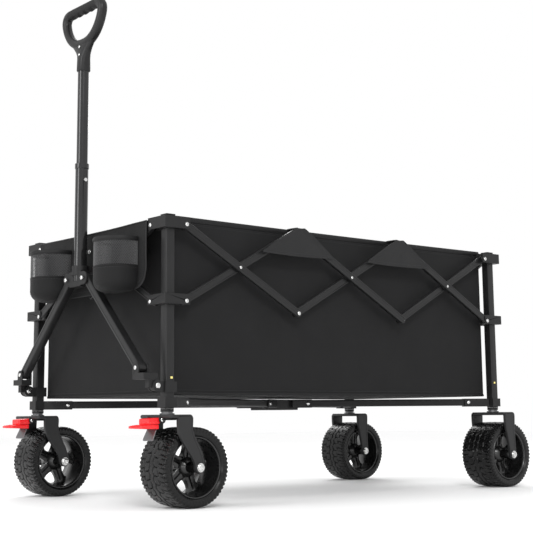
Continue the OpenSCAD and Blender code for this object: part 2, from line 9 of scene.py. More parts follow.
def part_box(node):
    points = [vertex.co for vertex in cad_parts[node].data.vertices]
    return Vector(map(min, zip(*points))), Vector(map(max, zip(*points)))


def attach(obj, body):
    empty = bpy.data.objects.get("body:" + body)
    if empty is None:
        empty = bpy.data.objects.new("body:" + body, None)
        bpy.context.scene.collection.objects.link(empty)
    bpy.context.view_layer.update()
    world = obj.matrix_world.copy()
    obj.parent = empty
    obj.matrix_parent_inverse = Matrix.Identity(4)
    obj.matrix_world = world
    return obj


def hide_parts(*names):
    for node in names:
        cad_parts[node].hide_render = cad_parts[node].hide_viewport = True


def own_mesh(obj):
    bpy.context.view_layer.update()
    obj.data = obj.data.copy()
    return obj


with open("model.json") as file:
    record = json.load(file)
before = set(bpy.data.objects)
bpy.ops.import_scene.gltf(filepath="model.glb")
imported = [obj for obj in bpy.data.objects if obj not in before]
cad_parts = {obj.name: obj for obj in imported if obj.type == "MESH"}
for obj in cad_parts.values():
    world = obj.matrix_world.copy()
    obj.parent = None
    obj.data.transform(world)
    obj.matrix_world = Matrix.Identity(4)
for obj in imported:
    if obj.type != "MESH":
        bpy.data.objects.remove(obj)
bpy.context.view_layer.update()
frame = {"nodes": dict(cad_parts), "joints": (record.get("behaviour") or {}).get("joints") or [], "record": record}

nodes = frame["nodes"]
bodyOf = {node: body for body, members in frame["record"]["behaviour"]["bodies"].items() for node in members}
joints = {joint["name"]: joint for joint in frame["joints"]}
mm = 0.001
outward = {"near": -1, "far": 1, "front": -1, "rear": 1}


def spot(joint):
    return Vector(joints[joint]["pos_m"])


# Post centres, from the casters and the pivots of the floor bars
frontSwivel = spot("near_front_swivel")
middleX = (spot("fold").x + spot("near_front_corner_level").x) / 2
postX = {"front": frontSwivel.x, "rear": 2 * middleX - frontSwivel.x}
postY = {"near": frontSwivel.y, "far": -frontSwivel.y}
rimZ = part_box("post_near_rear")[1][2]


def node(tree, kind, inputs=None, **settings):
    made = tree.nodes.new(kind)
    for name, value in settings.items():
        setattr(made, name, value)
    for name, value in (inputs or {}).items():
        if isinstance(value, bpy.types.NodeSocket):
            tree.links.new(value, made.inputs[name])
        else:
            made.inputs[name].default_value = value
    return made


def settle(obj):
    # Live modifiers become plain mesh
    bpy.context.view_layer.update()
    plain = bpy.data.meshes.new_from_object(obj.evaluated_get(bpy.context.evaluated_depsgraph_get()))
    obj.modifiers.clear()
    obj.data = plain
    return obj


def smooth(obj, degrees=35):
    obj.data.shade_smooth()
    obj.data.set_sharp_from_angle(angle=math.radians(degrees))
    return obj


def outwards(work):
    bmesh.ops.recalc_face_normals(work, faces=work.faces)


def toObject(name, work, *finishes, degrees=35):
    mesh = bpy.data.meshes.new(name)
    work.to_mesh(mesh)
    work.free()
    obj = bpy.data.objects.new(name, mesh)
    bpy.context.scene.collection.objects.link(obj)
    for finish in finishes:
        mesh.materials.append(finish)
    return smooth(obj, degrees)


def soften(obj, width, segments=2, degrees=30):
    bevel = obj.modifiers.new("soften", "BEVEL")
    bevel.width = width
    bevel.segments = segments
    bevel.limit_method = "ANGLE"
    bevel.angle_limit = math.radians(degrees)
    weigh = obj.modifiers.new("weigh", "WEIGHTED_NORMAL")
    weigh.keep_sharp = True
    return settle(obj)


def join(name, objects):
    # Several made objects become one piece
    work = bmesh.new()
    finishes = []
    for obj in objects:
        start = len(work.faces)
        work.from_mesh(obj.data)
        work.faces.ensure_lookup_table()
        slots = []
        for finish in obj.data.materials:
            if finish not in finishes:
                finishes.append(finish)
            slots.append(finishes.index(finish))
        for face in work.faces[start:]:
            face.material_index = slots[min(face.material_index, len(slots) - 1)]
    for obj in objects:
        bpy.data.objects.remove(obj)
    return toObject(name, work, *finishes)


def piece(obj, body, slot, *replaced):
    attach(obj, body)
    if replaced:
        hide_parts(*replaced)
    return obj


def ring(work, points):
    return [work.verts.new(point) for point in points]


def bridge(work, first, second, closed=True):
    count = len(first)
    return [
        work.faces.new((first[i], first[(i + 1) % count], second[(i + 1) % count], second[i]))
        for i in range(count if closed else count - 1)
    ]


def loft(rings, capped=True, closed=True):
    work = bmesh.new()
    made = [ring(work, points) for points in rings]
    for first, second in zip(made, made[1:]):
        bridge(work, first, second, closed)
    if capped:
        work.faces.new(made[0])
        work.faces.new(made[-1])
    outwards(work)
    return work


def lathe(profile, steps=64, spin=None):
    # profile holds (radius, height) pairs about Z, as a closed loop unless it starts and ends on the axis
    onAxis = profile[0][0] == 0
    work = bmesh.new()
    rings = []
    for radius, height in profile:
        if radius == 0:
            rings.append([work.verts.new((0, 0, height))] * steps)
            continue
        rings.append(ring(work, [(radius * math.cos(2 * math.pi * i / steps),
                                  radius * math.sin(2 * math.pi * i / steps), height) for i in range(steps)]))
    pairs = list(zip(rings, rings[1:])) + ([] if onAxis else [(rings[-1], rings[0])])
    for first, second in pairs:
        for i in range(steps):
            corners = [first[i], first[(i + 1) % steps], second[(i + 1) % steps], second[i]]
            corners = [corner for k, corner in enumerate(corners) if corner not in corners[:k]]
            work.faces.new(corners)
    outwards(work)
    if spin:
        work.transform(spin)
    return work


def alongY(place):
    return Matrix.Translation(place) @ Matrix.Rotation(-math.pi / 2, 4, "X")


print("materials")


def finish(name, colour, roughness, **sockets):
    material = bpy.data.materials.new(name)
    material.use_nodes = True
    shader = material.node_tree.nodes["Principled BSDF"]
    shader.inputs["Base Color"].default_value = (*colour, 1)
    shader.inputs["Roughness"].default_value = roughness
    for socket, value in sockets.items():
        shader.inputs[socket.replace("_", " ")].default_value = value
    return material


def vary(material, colour, other, scale, roughness=None, detail=4):
    # Mottles the colour, and the roughness between two values, with one noise
    tree = material.node_tree
    shader = tree.nodes["Principled BSDF"]
    place = node(tree, "ShaderNodeTexCoord")
    cloud = node(tree, "ShaderNodeTexNoise", {"Vector": place.outputs["Object"], "Scale": scale, "Detail": detail})
    mix = node(tree, "ShaderNodeMix", {0: cloud.outputs["Fac"], 6: (*colour, 1), 7: (*other, 1)}, data_type="RGBA")
    tree.links.new(mix.outputs[2], shader.inputs["Base Color"])
    if roughness:
        span = node(tree, "ShaderNodeMapRange", {"Value": cloud.outputs["Fac"], "From Min": 0.3, "From Max": 0.7,
                                                 "To Min": roughness[0], "To Max": roughness[1]})
        tree.links.new(span.outputs[0], shader.inputs["Roughness"])
    return material


def grain(material, scale, strength, depth, kind="noise", stretch=(1, 1, 1)):
    tree = material.node_tree
    place = node(tree, "ShaderNodeTexCoord")
    scaled = node(tree, "ShaderNodeMapping", {"Vector": place.outputs["Object"], "Scale": stretch})
    if kind == "noise":
        height = node(tree, "ShaderNodeTexNoise", {"Vector": scaled.outputs[0], "Scale": scale, "Detail": 3})
        value = height.outputs["Fac"]
    else:
        height = node(tree, "ShaderNodeTexVoronoi", {"Vector": scaled.outputs[0], "Scale": scale})
        value = height.outputs["Distance"]
    bump = node(tree, "ShaderNodeBump", {"Height": value, "Strength": strength, "Distance": depth})
    tree.links.new(bump.outputs[0], tree.nodes["Principled BSDF"].inputs["Normal"])
    return material


def weave(material, threads, strength, depth, shades=None):
    # Plain weave on the piece's UV map, which is in metres
    tree = material.node_tree
    shader = tree.nodes["Principled BSDF"]
    place = node(tree, "ShaderNodeTexCoord")
    waves = []
    for turn in (0, math.pi / 2):
        turned = node(tree, "ShaderNodeMapping", {"Vector": place.outputs["UV"], "Rotation": (0, 0, turn)})
        waves.append(node(tree, "ShaderNodeTexWave", {"Vector": turned.outputs[0], "Scale": threads,
                                                      "Distortion": 0.6, "Detail": 1}).outputs["Fac"])
    height = node(tree, "ShaderNodeMath", {0: waves[0], 1: waves[1]}, operation="MULTIPLY")
    bump = node(tree, "ShaderNodeBump", {"Height": height.outputs[0], "Strength": strength, "Distance": depth})
    cloud = node(tree, "ShaderNodeTexNoise", {"Vector": place.outputs["UV"], "Scale": 9, "Detail": 5})
    puckers = node(tree, "ShaderNodeBump", {"Height": cloud.outputs["Fac"], "Strength": 0.25, "Distance": 0.01,
                                            "Normal": bump.outputs[0]})
    tree.links.new(puckers.outputs[0], shader.inputs["Normal"])
    if shades:
        mix = node(tree, "ShaderNodeMix", {0: cloud.outputs["Fac"], 6: (*shades[0], 1), 7: (*shades[1], 1)},
                   data_type="RGBA")
        tree.links.new(mix.outputs[2], shader.inputs["Base Color"])
    return material


def grey(value, blue=1.03):
    return (value, value, value * blue)


powderCoat = grain(vary(finish("powderCoat", grey(0.011), 0.34, Specular_IOR_Level=0.22, Coat_Weight=0.12, Coat_Roughness=0.1), grey(0.01), grey(0.015), 30,
                        (0.32, 0.42)),
                   1100, 0.25, 0.0004)
barCoat = grain(vary(finish("barCoat", grey(0.011), 0.34, Specular_IOR_Level=0.22, Coat_Weight=0.15, Coat_Roughness=0.1), grey(0.009), grey(0.014), 24,
                     (0.28, 0.4)),
                900, 0.2, 0.0004)
mouldedBlack = grain(vary(finish("mouldedBlack", grey(0.012), 0.44, Specular_IOR_Level=0.24), grey(0.01), grey(0.015),
                          40, (0.4, 0.52)),
                     700, 0.3, 0.0005, "cells")
poleGloss = vary(finish("poleGloss", grey(0.02), 0.15, Metallic=0.5, Specular_IOR_Level=0.4, Coat_Weight=0.3,
                        Coat_Roughness=0.06), grey(0.016), grey(0.024), 12, (0.12, 0.19))
zinc = grain(vary(finish("zinc", (0.62, 0.62, 0.62), 0.22, Metallic=1.0), (0.58, 0.58, 0.58), (0.72, 0.72, 0.71), 60,
                  (0.16, 0.3)), 500, 0.12, 0.0003)
gripRubber = grain(vary(finish("gripRubber", grey(0.009), 0.38, Specular_IOR_Level=0.3), grey(0.008), grey(0.011), 35,
                        (0.34, 0.44)),
                   900, 0.2, 0.0003)
palmRubber = grain(finish("palmRubber", grey(0.007), 0.6, Specular_IOR_Level=0.25), 420, 0.8, 0.001, "cells")
forkCoat = grain(vary(finish("forkCoat", grey(0.02), 0.44, Specular_IOR_Level=0.25), grey(0.017), grey(0.023), 30,
                      (0.4, 0.5)),
                 1300, 0.35, 0.0004)
treadRubber = grain(vary(finish("treadRubber", grey(0.005), 0.24, Specular_IOR_Level=0.26), grey(0.003), grey(0.006),
                         45, (0.14, 0.32)), 600, 0.2, 0.0006)
rimPlastic = vary(finish("rimPlastic", grey(0.005), 0.26, Specular_IOR_Level=0.6), grey(0.004), grey(0.007), 25,
                  (0.2, 0.32))
pedalRed = grain(vary(finish("pedalRed", (0.78, 0.012, 0.016), 0.32), (0.74, 0.01, 0.014), (0.84, 0.016, 0.02), 50,
                      (0.28, 0.38)), 600, 0.12, 0.0003)
brakeSteel = grain(vary(finish("brakeSteel", (0.16, 0.16, 0.165), 0.38, Metallic=0.9), (0.13, 0.13, 0.135),
                        (0.21, 0.21, 0.215), 30, (0.3, 0.45)), 300, 0.15, 0.0004, stretch=(1, 1, 12))
lockYellow = grain(finish("lockYellow", (0.8, 0.68, 0.22), 0.35), 500, 0.1, 0.0002)
oxford = weave(finish("oxford", grey(0.013), 0.7, Specular_IOR_Level=0.1, Sheen_Weight=0.02, Sheen_Roughness=0.5), 210,
               0.5, 0.0006, (grey(0.011), grey(0.0155)))
flapCloth = weave(finish("flapCloth", grey(0.019), 0.66, Specular_IOR_Level=0.15, Sheen_Weight=0.04, Sheen_Roughness=0.5),
                  210, 0.5, 0.0006, (grey(0.016), grey(0.022)))
panelCloth = weave(finish("panelCloth", grey(0.008), 0.62, Specular_IOR_Level=0.16, Sheen_Weight=0.03,
                          Sheen_Roughness=0.45), 240, 0.5, 0.0006, (grey(0.0065), grey(0.0095)))
binding = weave(finish("binding", grey(0.01), 0.56, Specular_IOR_Level=0.2), 420, 0.6, 0.0005, (grey(0.008), grey(0.012)))
strand = grain(finish("strand", grey(0.05), 0.28, Specular_IOR_Level=0.6), 900, 0.2, 0.0003)
thread = grain(finish("thread", grey(0.03), 0.5, Specular_IOR_Level=0.25), 1500, 0.3, 0.0002)


print("node trees")


def newTree(name, sockets):
    # A Geometry Nodes group with the named inputs, ending in one material
    tree = bpy.data.node_groups.new(name, "GeometryNodeTree")
    tree.interface.new_socket("Geometry", in_out="INPUT", socket_type="NodeSocketGeometry")
    for label, kind, value in sockets:
        socket = tree.interface.new_socket(label, in_out="INPUT", socket_type="NodeSocket" + kind)
        if value is not None:
            socket.default_value = value
    tree.interface.new_socket("Finish", in_out="INPUT", socket_type="NodeSocketMaterial")
    tree.interface.new_socket("Geometry", in_out="OUTPUT", socket_type="NodeSocketGeometry")
    return tree, node(tree, "NodeGroupInput")


def endTree(tree, entry, geometry):
    solid = node(tree, "GeometryNodeRealizeInstances", {0: geometry})
    smoothed = node(tree, "GeometryNodeSetShadeSmooth", {0: solid.outputs[0]})
    coloured = node(tree, "GeometryNodeSetMaterial", {0: smoothed.outputs[0], "Material": entry.outputs["Finish"]})
    node(tree, "NodeGroupOutput", {0: coloured.outputs[0]})
    return tree


def runTree(obj, tree, finishUsed, **values):
    work = obj.modifiers.new("build", "NODES")
    work.node_group = tree
    values["Finish"] = finishUsed
    for item in tree.interface.items_tree:
        if item.in_out == "INPUT" and item.name in values:
            work[item.identifier] = values[item.name]
    settle(obj)
    if not obj.data.materials:
        obj.data.materials.append(finishUsed)
    return obj


def rivetTree():
    # A domed head with a short shank at every point, facing along the point's "facing", sized by its "size"
    tree, entry = newTree("rivets", [("Head Radius", "Float", 5.5 * mm), ("Dome", "Float", 0.42),
                                     ("Shank", "Float", 10 * mm)])
    head = node(tree, "GeometryNodeMeshUVSphere", {"Segments": 20, "Rings": 10, "Radius": entry.outputs["Head Radius"]})
    squeeze = node(tree, "ShaderNodeCombineXYZ", {0: 1.0, 1: 1.0, 2: entry.outputs["Dome"]})
    dome = node(tree, "GeometryNodeTransform", {0: head.outputs[0], "Scale": squeeze.outputs[0]})
    half = node(tree, "ShaderNodeMath", {0: entry.outputs["Head Radius"], 1: 0.5}, operation="MULTIPLY")
    shank = node(tree, "GeometryNodeMeshCylinder", {"Vertices": 14, "Radius": half.outputs[0],
                                                    "Depth": entry.outputs["Shank"]})
    lower = node(tree, "ShaderNodeMath", {0: entry.outputs["Shank"], 1: -0.5}, operation="MULTIPLY")
    drop = node(tree, "ShaderNodeCombineXYZ", {2: lower.outputs[0]})
    sunk = node(tree, "GeometryNodeTransform", {0: shank.outputs[0], "Translation": drop.outputs[0]})
    both = node(tree, "GeometryNodeJoinGeometry", {0: dome.outputs[0]})
    tree.links.new(sunk.outputs[0], both.inputs[0])
    facing = node(tree, "GeometryNodeInputNamedAttribute", {"Name": "facing"}, data_type="FLOAT_VECTOR")
    size = node(tree, "GeometryNodeInputNamedAttribute", {"Name": "size"}, data_type="FLOAT")
    turn = node(tree, "FunctionNodeAlignRotationToVector", {"Vector": facing.outputs[0]}, axis="Z")
    heads = node(tree, "GeometryNodeInstanceOnPoints", {"Points": entry.outputs[0], "Instance": both.outputs[0],
                                                        "Rotation": turn.outputs[0], "Scale": size.outputs[0]})
    return endTree(tree, entry, heads.outputs[0])


def stitchTree():
    # Short capsules lying along the edges of the input, one every spacing
    tree, entry = newTree("stitches", [("Spacing", "Float", 5 * mm), ("Length", "Float", 3.4 * mm),
                                       ("Thickness", "Float", 0.5 * mm)])
    path = node(tree, "GeometryNodeMeshToCurve", {0: entry.outputs[0]})
    even = node(tree, "GeometryNodeResampleCurve", {0: path.outputs[0], 3: entry.outputs["Spacing"]}, mode="LENGTH")
    half = node(tree, "ShaderNodeMath", {0: entry.outputs["Length"], 1: 0.5}, operation="MULTIPLY")
    ball = node(tree, "GeometryNodeMeshUVSphere", {"Segments": 6, "Rings": 4, "Radius": entry.outputs["Thickness"]})
    long = node(tree, "ShaderNodeMath", {0: half.outputs[0], 1: entry.outputs["Thickness"]}, operation="DIVIDE")
    size = node(tree, "ShaderNodeCombineXYZ", {0: 1.0, 1: 1.0, 2: long.outputs[0]})
    tangent = node(tree, "GeometryNodeInputTangent")
    turn = node(tree, "FunctionNodeAlignRotationToVector", {"Vector": tangent.outputs[0]}, axis="Z")
    laid = node(tree, "GeometryNodeInstanceOnPoints", {"Points": even.outputs[0], "Instance": ball.outputs[0],
                                                       "Rotation": turn.outputs[0], "Scale": size.outputs[0]})
    return endTree(tree, entry, laid.outputs[0])


def netTree():
    # Every edge of the input becomes a thin strand
    tree, entry = newTree("net", [("Strand Radius", "Float", 0.6 * mm), ("Sides", "Int", 4)])
    path = node(tree, "GeometryNodeMeshToCurve", {0: entry.outputs[0]})
    section = node(tree, "GeometryNodeCurvePrimitiveCircle", {"Resolution": entry.outputs["Sides"],
                                                              "Radius": entry.outputs["Strand Radius"]})
    strands = node(tree, "GeometryNodeCurveToMesh", {"Curve": path.outputs[0], "Profile Curve": section.outputs[0]})
    return endTree(tree, entry, strands.outputs[0])


def turnTree():
    # The input is one sector about Z, repeated count times and welded
    tree, entry = newTree("sectors", [("Count", "Int", 28)])
    centres = node(tree, "GeometryNodePoints", {"Count": entry.outputs["Count"]})
    step = node(tree, "ShaderNodeMath", {0: 2 * math.pi, 1: entry.outputs["Count"]}, operation="DIVIDE")
    index = node(tree, "GeometryNodeInputIndex")
    angle = node(tree, "ShaderNodeMath", {0: index.outputs[0], 1: step.outputs[0]}, operation="MULTIPLY")
    turn = node(tree, "ShaderNodeCombineXYZ", {2: angle.outputs[0]})
    sectors = node(tree, "GeometryNodeInstanceOnPoints", {"Points": centres.outputs[0], "Instance": entry.outputs[0],
                                                          "Rotation": turn.outputs[0]})
    solid = node(tree, "GeometryNodeRealizeInstances", {0: sectors.outputs[0]})
    welded = node(tree, "GeometryNodeMergeByDistance", {0: solid.outputs[0], "Distance": 0.02 * mm})
    return endTree(tree, entry, welded.outputs[0])


rivets, stitches, net, sectors = rivetTree(), stitchTree(), netTree(), turnTree()


print("camera and lights")
view = {"place": (-2.25, -2.6849, 0.2154), "yaw": 50.245, "pitch": 9.185, "roll": -0.5, "lens": 80.74,
        "shift": (0, -0.0835)}
studio = {
    # name: (place, aim, size across, size up, watts)
    "key": ((-2.6, -4.2, 3.4), (0, 0, 0.4), 1.3, 1.1, 110),
    "side": ((-4.4, 0.4, 2.2), (-0.2, 0, 0.5), 1.6, 2.6, 70),
    "low": ((-3.6, -3.2, 0.5), (0, 0, 0.3), 3.0, 0.7, 16),
    "back": ((2.2, 3.4, 3.0), (0, 0, 0.5), 2.6, 2.0, 60),
}
world = {"brightness": 1.0, "floor": 0.95}


def addCamera():
    yaw, pitch, roll = (math.radians(view[name]) for name in ("yaw", "pitch", "roll"))
    data = bpy.data.cameras.new("camera")
    data.lens, data.sensor_width = view["lens"], 36
    data.shift_x, data.shift_y = view["shift"]
    obj = bpy.data.objects.new("camera", data)
    turn = Matrix.Rotation(yaw - math.pi / 2, 4, "Z") @ Matrix.Rotation(math.pi / 2 + pitch, 4, "X")
    obj.matrix_world = Matrix.Translation(view["place"]) @ turn @ Matrix.Rotation(roll, 4, "Z")
    bpy.context.scene.collection.objects.link(obj)
    bpy.context.scene.camera = obj


def addLight(name, place, aim, across, up, watts):
    data = bpy.data.lights.new(name, "AREA")
    data.shape, data.size, data.size_y, data.energy = "RECTANGLE", across, up, watts
    obj = bpy.data.objects.new(name, data)
    obj.matrix_world = Matrix.Translation(place) @ (Vector(place) - Vector(aim)).to_track_quat("Z", "Y").to_matrix().to_4x4()
    bpy.context.scene.collection.objects.link(obj)


def addFloor():
    work = bmesh.new()
    bmesh.ops.create_grid(work, x_segments=8, y_segments=8, size=9)
    ground = toObject("studioFloor", work, vary(finish("studioWhite", (world["floor"],) * 3, 0.7),
                                                 (world["floor"],) * 3, (world["floor"] + 0.02,) * 3, 2))


addCamera()
for name, settings in studio.items():
    addLight(name, *settings)
addFloor()
sky = bpy.data.worlds.new("studio")
sky.use_nodes = True
sky.node_tree.nodes["Background"].inputs["Color"].default_value = (1, 1, 1, 1)
sky.node_tree.nodes["Background"].inputs["Strength"].default_value = world["brightness"]
bpy.context.scene.world = sky
bpy.context.scene.view_settings.view_transform = "Standard"


print("frame: brackets, posts, bars")
frameLook = {
    "bracketEdge": 1.3 * mm, "postCorner": 3.2 * mm, "barEdge": 1.8 * mm, "channel": 5.5 * mm, "channelDepth": 1.3 * mm,
    "legEdge": 2.6 * mm, "domeSize": 1.0,
}
rivetShape = {"longest": 37 * mm, "widest": 7.6 * mm, "bushRadius": 6.5 * mm, "sunk": 1.9 * mm}


def looseParts(source):
    # The separate solids of a CAD node, as small bmeshes with clean flat faces
    work = bmesh.new()
    work.from_mesh(nodes[source].data)
    bmesh.ops.remove_doubles(work, verts=work.verts, dist=1e-6)
    work.verts.ensure_lookup_table()
    seen, groups = set(), []
    for start in work.verts:
        if start in seen:
            continue
        seen.add(start)
        stack, found = [start], [start]
        while stack:
            for edge in stack.pop().link_edges:
                for vert in edge.verts:
                    if vert not in seen:
                        seen.add(vert)
                        stack.append(vert)
                        found.append(vert)
        groups.append(found)
    parts = []
    for found in groups:
        part = bmesh.new()
        copies = {vert: part.verts.new(vert.co) for vert in found}
        for face in {face for vert in found for face in vert.link_faces}:
            part.faces.new([copies[vert] for vert in face.verts])
        bmesh.ops.dissolve_limit(part, angle_limit=math.radians(1), verts=part.verts, edges=part.edges)
        part.faces.ensure_lookup_table()
        parts.append(part)
    work.free()
    return parts


def pointsOf(part):
    return np.array([vert.co for vert in part.verts])


def rivetAxis(part):
    # The axis of a rivet or bush is square to its largest flat face; None for any other shape
    points = pointsOf(part)
    if np.ptp(points, axis=0).max() > rivetShape["longest"] or len(points) < 20:
        return None
    axis = max(part.faces, key=lambda face: face.calc_area()).normal.copy()
    centre = Vector(points.mean(axis=0))
    away = [(Vector(point) - centre) - axis * (Vector(point) - centre).dot(axis) for point in points]
    radius = max(step.length for step in away)
    if radius > rivetShape["widest"]:
        return None
    along = [(Vector(point) - centre).dot(axis) for point in points]
    return centre, axis, radius, min(along), max(along)


rivetSpots = {}


def noteRivet(body, place, facing, size):
    rivetSpots.setdefault(body, []).append((place, facing, size))


def middleOf(source):
    low, high = (Vector(corner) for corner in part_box(source))
    return (low + high) / 2


def sortParts(source):
    # Rivets are noted for their body, and the other solids are returned
    rest = []
    for part in looseParts(source):
        found = rivetAxis(part)
        if found is None or abs(found[2] - rivetShape["bushRadius"]) < 0.1 * mm:
            rest.append(part)
            continue
        centre, axis, radius, low, high = found
        size = radius / (5.5 * mm)
        if "_bar_" in source and (centre - middleOf(source)).length < 30 * mm:
            size *= 0.74
        for facing, end in ((axis, high), (-axis, -low)):
            noteRivet(bodyOf[source], centre + facing * (end - rivetShape["sunk"]), facing, size)
        part.free()
    return rest


def copyOf(source, finishUsed, width=None, degrees=30):
    parts = [toObject(source, part, finishUsed) for part in sortParts(source)]
    made = join(source + "_shell", parts)
    return soften(made, width or frameLook["bracketEdge"], degrees=degrees)


def stadium(name, start, end, radius, profile, facing, finishUsed, sides=14):
    # A bar with round ends about start and end: profile holds (inset, height along facing) pairs
    along = (end - start).normalized()
    facing = facing.normalized()
    across = facing.cross(along)
    rings = []
    for inset, height in profile:
        points = []
        for centre, turn in ((end, -90), (start, 90)):
            for i in range(sides + 1):
                angle = math.radians(turn + 180 * i / sides)
                step = along * math.cos(angle) + across * math.sin(angle)
                points.append(centre + step * (radius - inset) + facing * height)
        rings.append(points)
    return toObject(name, loft(rings), finishUsed, degrees=28)


def channelProfile(radius, half, edge, channel, depth, bothSides=True):
    # Rounded edges, and a shallow channel pressed along the middle of the faces
    curve = [(edge * (1 - math.sin(a)), half - edge * (1 - math.cos(a))) for a in (math.pi / 2, math.pi / 3, math.pi / 6, 0)]
    top = curve + [(radius - channel - depth, half), (radius - channel, half - depth), (radius - 0.3 * mm, half - depth)]
    low = [(inset, -height) for inset, height in reversed(top)]
    if not bothSides:
        low = [(radius - 0.3 * mm, -half)] + [(inset, -height) for inset, height in reversed(curve)]
    return low + top


def barAxis(source, part):
    # End centres, in-plane radius, half thickness and facing of a long solid with round ends
    points = pointsOf(part)
    centre = points.mean(axis=0)
    boxCentre = (points.max(axis=0) + points.min(axis=0)) / 2
    along = np.linalg.svd(points - centre)[2][0]
    flat = points - boxCentre
    facing = None
    for face in sorted(part.faces, key=lambda face: -face.calc_area()):
        if abs(face.normal.dot(Vector(along))) < 0.02 and abs(face.normal.z) < 0.02:
            facing = np.array(face.normal)
            break
    reach = flat @ along
    half = np.ptp(flat @ facing) / 2
    across = np.cross(along, facing)
    radius = np.ptp(flat @ across) / 2
    middle = Vector(boxCentre)
    shift = Vector(along) * (reach.max() - radius)
    other = Vector(along) * (reach.min() + radius)
    if facing @ (boxCentre - np.array((middleX, 0, 0))) < 0:
        facing = -facing
    return middle + other, middle + shift, radius, half, Vector(facing)


def bar(source, finishUsed, slot, edge, channel, depth):
    parts = sorted(sortParts(source), key=lambda part: -np.ptp(pointsOf(part), axis=0).max())
    start, end, radius, half, facing = barAxis(source, parts[0])
    profile = channelProfile(radius, half, edge, channel, depth)
    made = stadium(source + "_bar", start, end, radius, profile, facing, finishUsed)
    for part in parts:
        part.free()
    return piece(made, bodyOf[source], slot, source)


def roundSquare(centre, half, corner, low, high, name, finishUsed, steps=5):
    rings = []
    rim = 0.6 * mm
    for inset, z in ((rim, low), (0, low + rim), (0, high - rim), (rim, high)):
        points = []
        for k in range(4):
            for i in range(steps + 1):
                angle = math.pi / 2 * (k + i / steps)
                sx, sy = ((1, 1), (-1, 1), (-1, -1), (1, -1))[k]
                points.append((centre[0] + sx * (half - corner) + (corner - inset) * math.cos(angle),
                               centre[1] + sy * (half - corner) + (corner - inset) * math.sin(angle), z))
        rings.append(points)
    return toObject(name, loft(rings), finishUsed, degrees=40)


def buildPost(side, end):
    source = f"post_{side}_{end}"
    shells = []
    for part in sortParts(source):
        points = pointsOf(part)
        low, high = points.min(axis=0), points.max(axis=0)
        if high[2] - low[2] > 0.3:
            half = (high[0] - low[0]) / 2
            tube = roundSquare(((low[0] + high[0]) / 2, (low[1] + high[1]) / 2), half, frameLook["postCorner"],
                               low[2], high[2], source + "_tube", powderCoat)
            part.free()
        else:
            small = np.ptp(points, axis=0).max() < 8 * mm
            shells.append(toObject(source, part, lockYellow if small else mouldedBlack))
    made = join(source + "_brackets", shells)
    soften(made, frameLook["bracketEdge"])
    piece(tube, bodyOf[source], "post_metal", source)
    piece(made, bodyOf[source], "bracket", source)


for side in ("near", "far"):
    for end in ("front", "rear"):
        buildPost(side, end)
        piece(copyOf(f"slider_{side}_{end}", mouldedBlack), bodyOf[f"slider_{side}_{end}"], "bracket",
              f"slider_{side}_{end}")
for source in nodes:
    if "_bar_" in source and not source.startswith("floor"):
        bar(source, barCoat, "bar_metal", frameLook["barEdge"], frameLook["channel"], frameLook["channelDepth"])
    elif source.startswith("floor_bar"):
        bar(source, powderCoat, "bar_metal", frameLook["barEdge"], 5 * mm, 0.5 * mm)
    elif source.startswith("leg_"):
        bar(source, barCoat, "bar_metal", frameLook["legEdge"], 4 * mm, 0.9 * mm)
for source in ("hub", "knuckle_near", "knuckle_far", "yoke"):
    piece(copyOf(source, powderCoat if source == "hub" else mouldedBlack, 1.5 * mm), bodyOf[source], "bracket", source)


low, high = (Vector(corner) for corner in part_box("yoke"))
for across in (low.y + 17 * mm, high.y - 17 * mm):
    for x, facing in ((low.x + 1 * mm, -1), (high.x - 1 * mm, 1)):
        noteRivet(bodyOf["yoke"], Vector((x, across, low.z + 20 * mm)), Vector((facing, 0, 0)), 1.05)


print("handle")
poleLook = {"edge": 0.8 * mm}
gripLook = {
    "deep": 12.5 * mm, "bumps": 4, "bumpHeight": 2.4 * mm, "rings": 120, "section": 24, "screwSize": 0.75,
    "screws": (139 * mm, 161 * mm), "below": 32 * mm,
    # (sideways, up, half width) in millimetres from the middle of the lower side round to the palm bar
    "path": ((0, -97, 14), (30, -93, 13), (58, -78, 12), (78, -55, 11.5), (89, -30, 11.5), (89, -13, 12), (78, -2, 12.5),
             (54, 0, 12.5), (27, 0, 12.5), (0, 0, 12.5)),
}


def buildPole():
    outer = copyOf("pole_outer", poleGloss, poleLook["edge"], 40)
    piece(outer, bodyOf["pole_outer"], "pole_metal", "pole_outer")
    inner = copyOf("pole_inner", poleGloss, poleLook["edge"], 40)
    piece(inner, bodyOf["pole_inner"], "pole_metal", "pole_inner")
    button = join("pole_button_shell", [toObject("pole_button", part, zinc) for part in looseParts("pole_button")])
    soften(button, 0.5 * mm)
    piece(button, bodyOf["pole_button"], "steel", "pole_button")


def gripLoop(u):
    # Centre line of the D-shaped loop, from the neck round and back: (sideways, up, half width in the plane)
    turn = u * 2 if u <= 0.5 else 2 - u * 2
    path, top = gripLook["path"], gripBox[1].z - gripLook["below"]
    share = turn * (len(path) - 1)
    index = min(int(share), len(path) - 2)
    t = share - index
    near = [path[max(0, min(len(path) - 1, index + k))] for k in (-1, 0, 1, 2)]
    if index == 0:
        near[0] = (-path[1][0], path[1][1], path[1][2])
    if index == len(path) - 2:
        near[3] = (-path[-2][0], path[-2][1], path[-2][2])
    values = [0.5 * (2 * q + (r - p) * t + (2 * p - 5 * q + 4 * r - w) * t ** 2 + (3 * q - p - 3 * r + w) * t ** 3)
              for p, q, r, w in zip(*near)]
    sideways, up, width = (value * mm for value in values)
    return (sideways if u <= 0.5 else -sideways), top + up, width


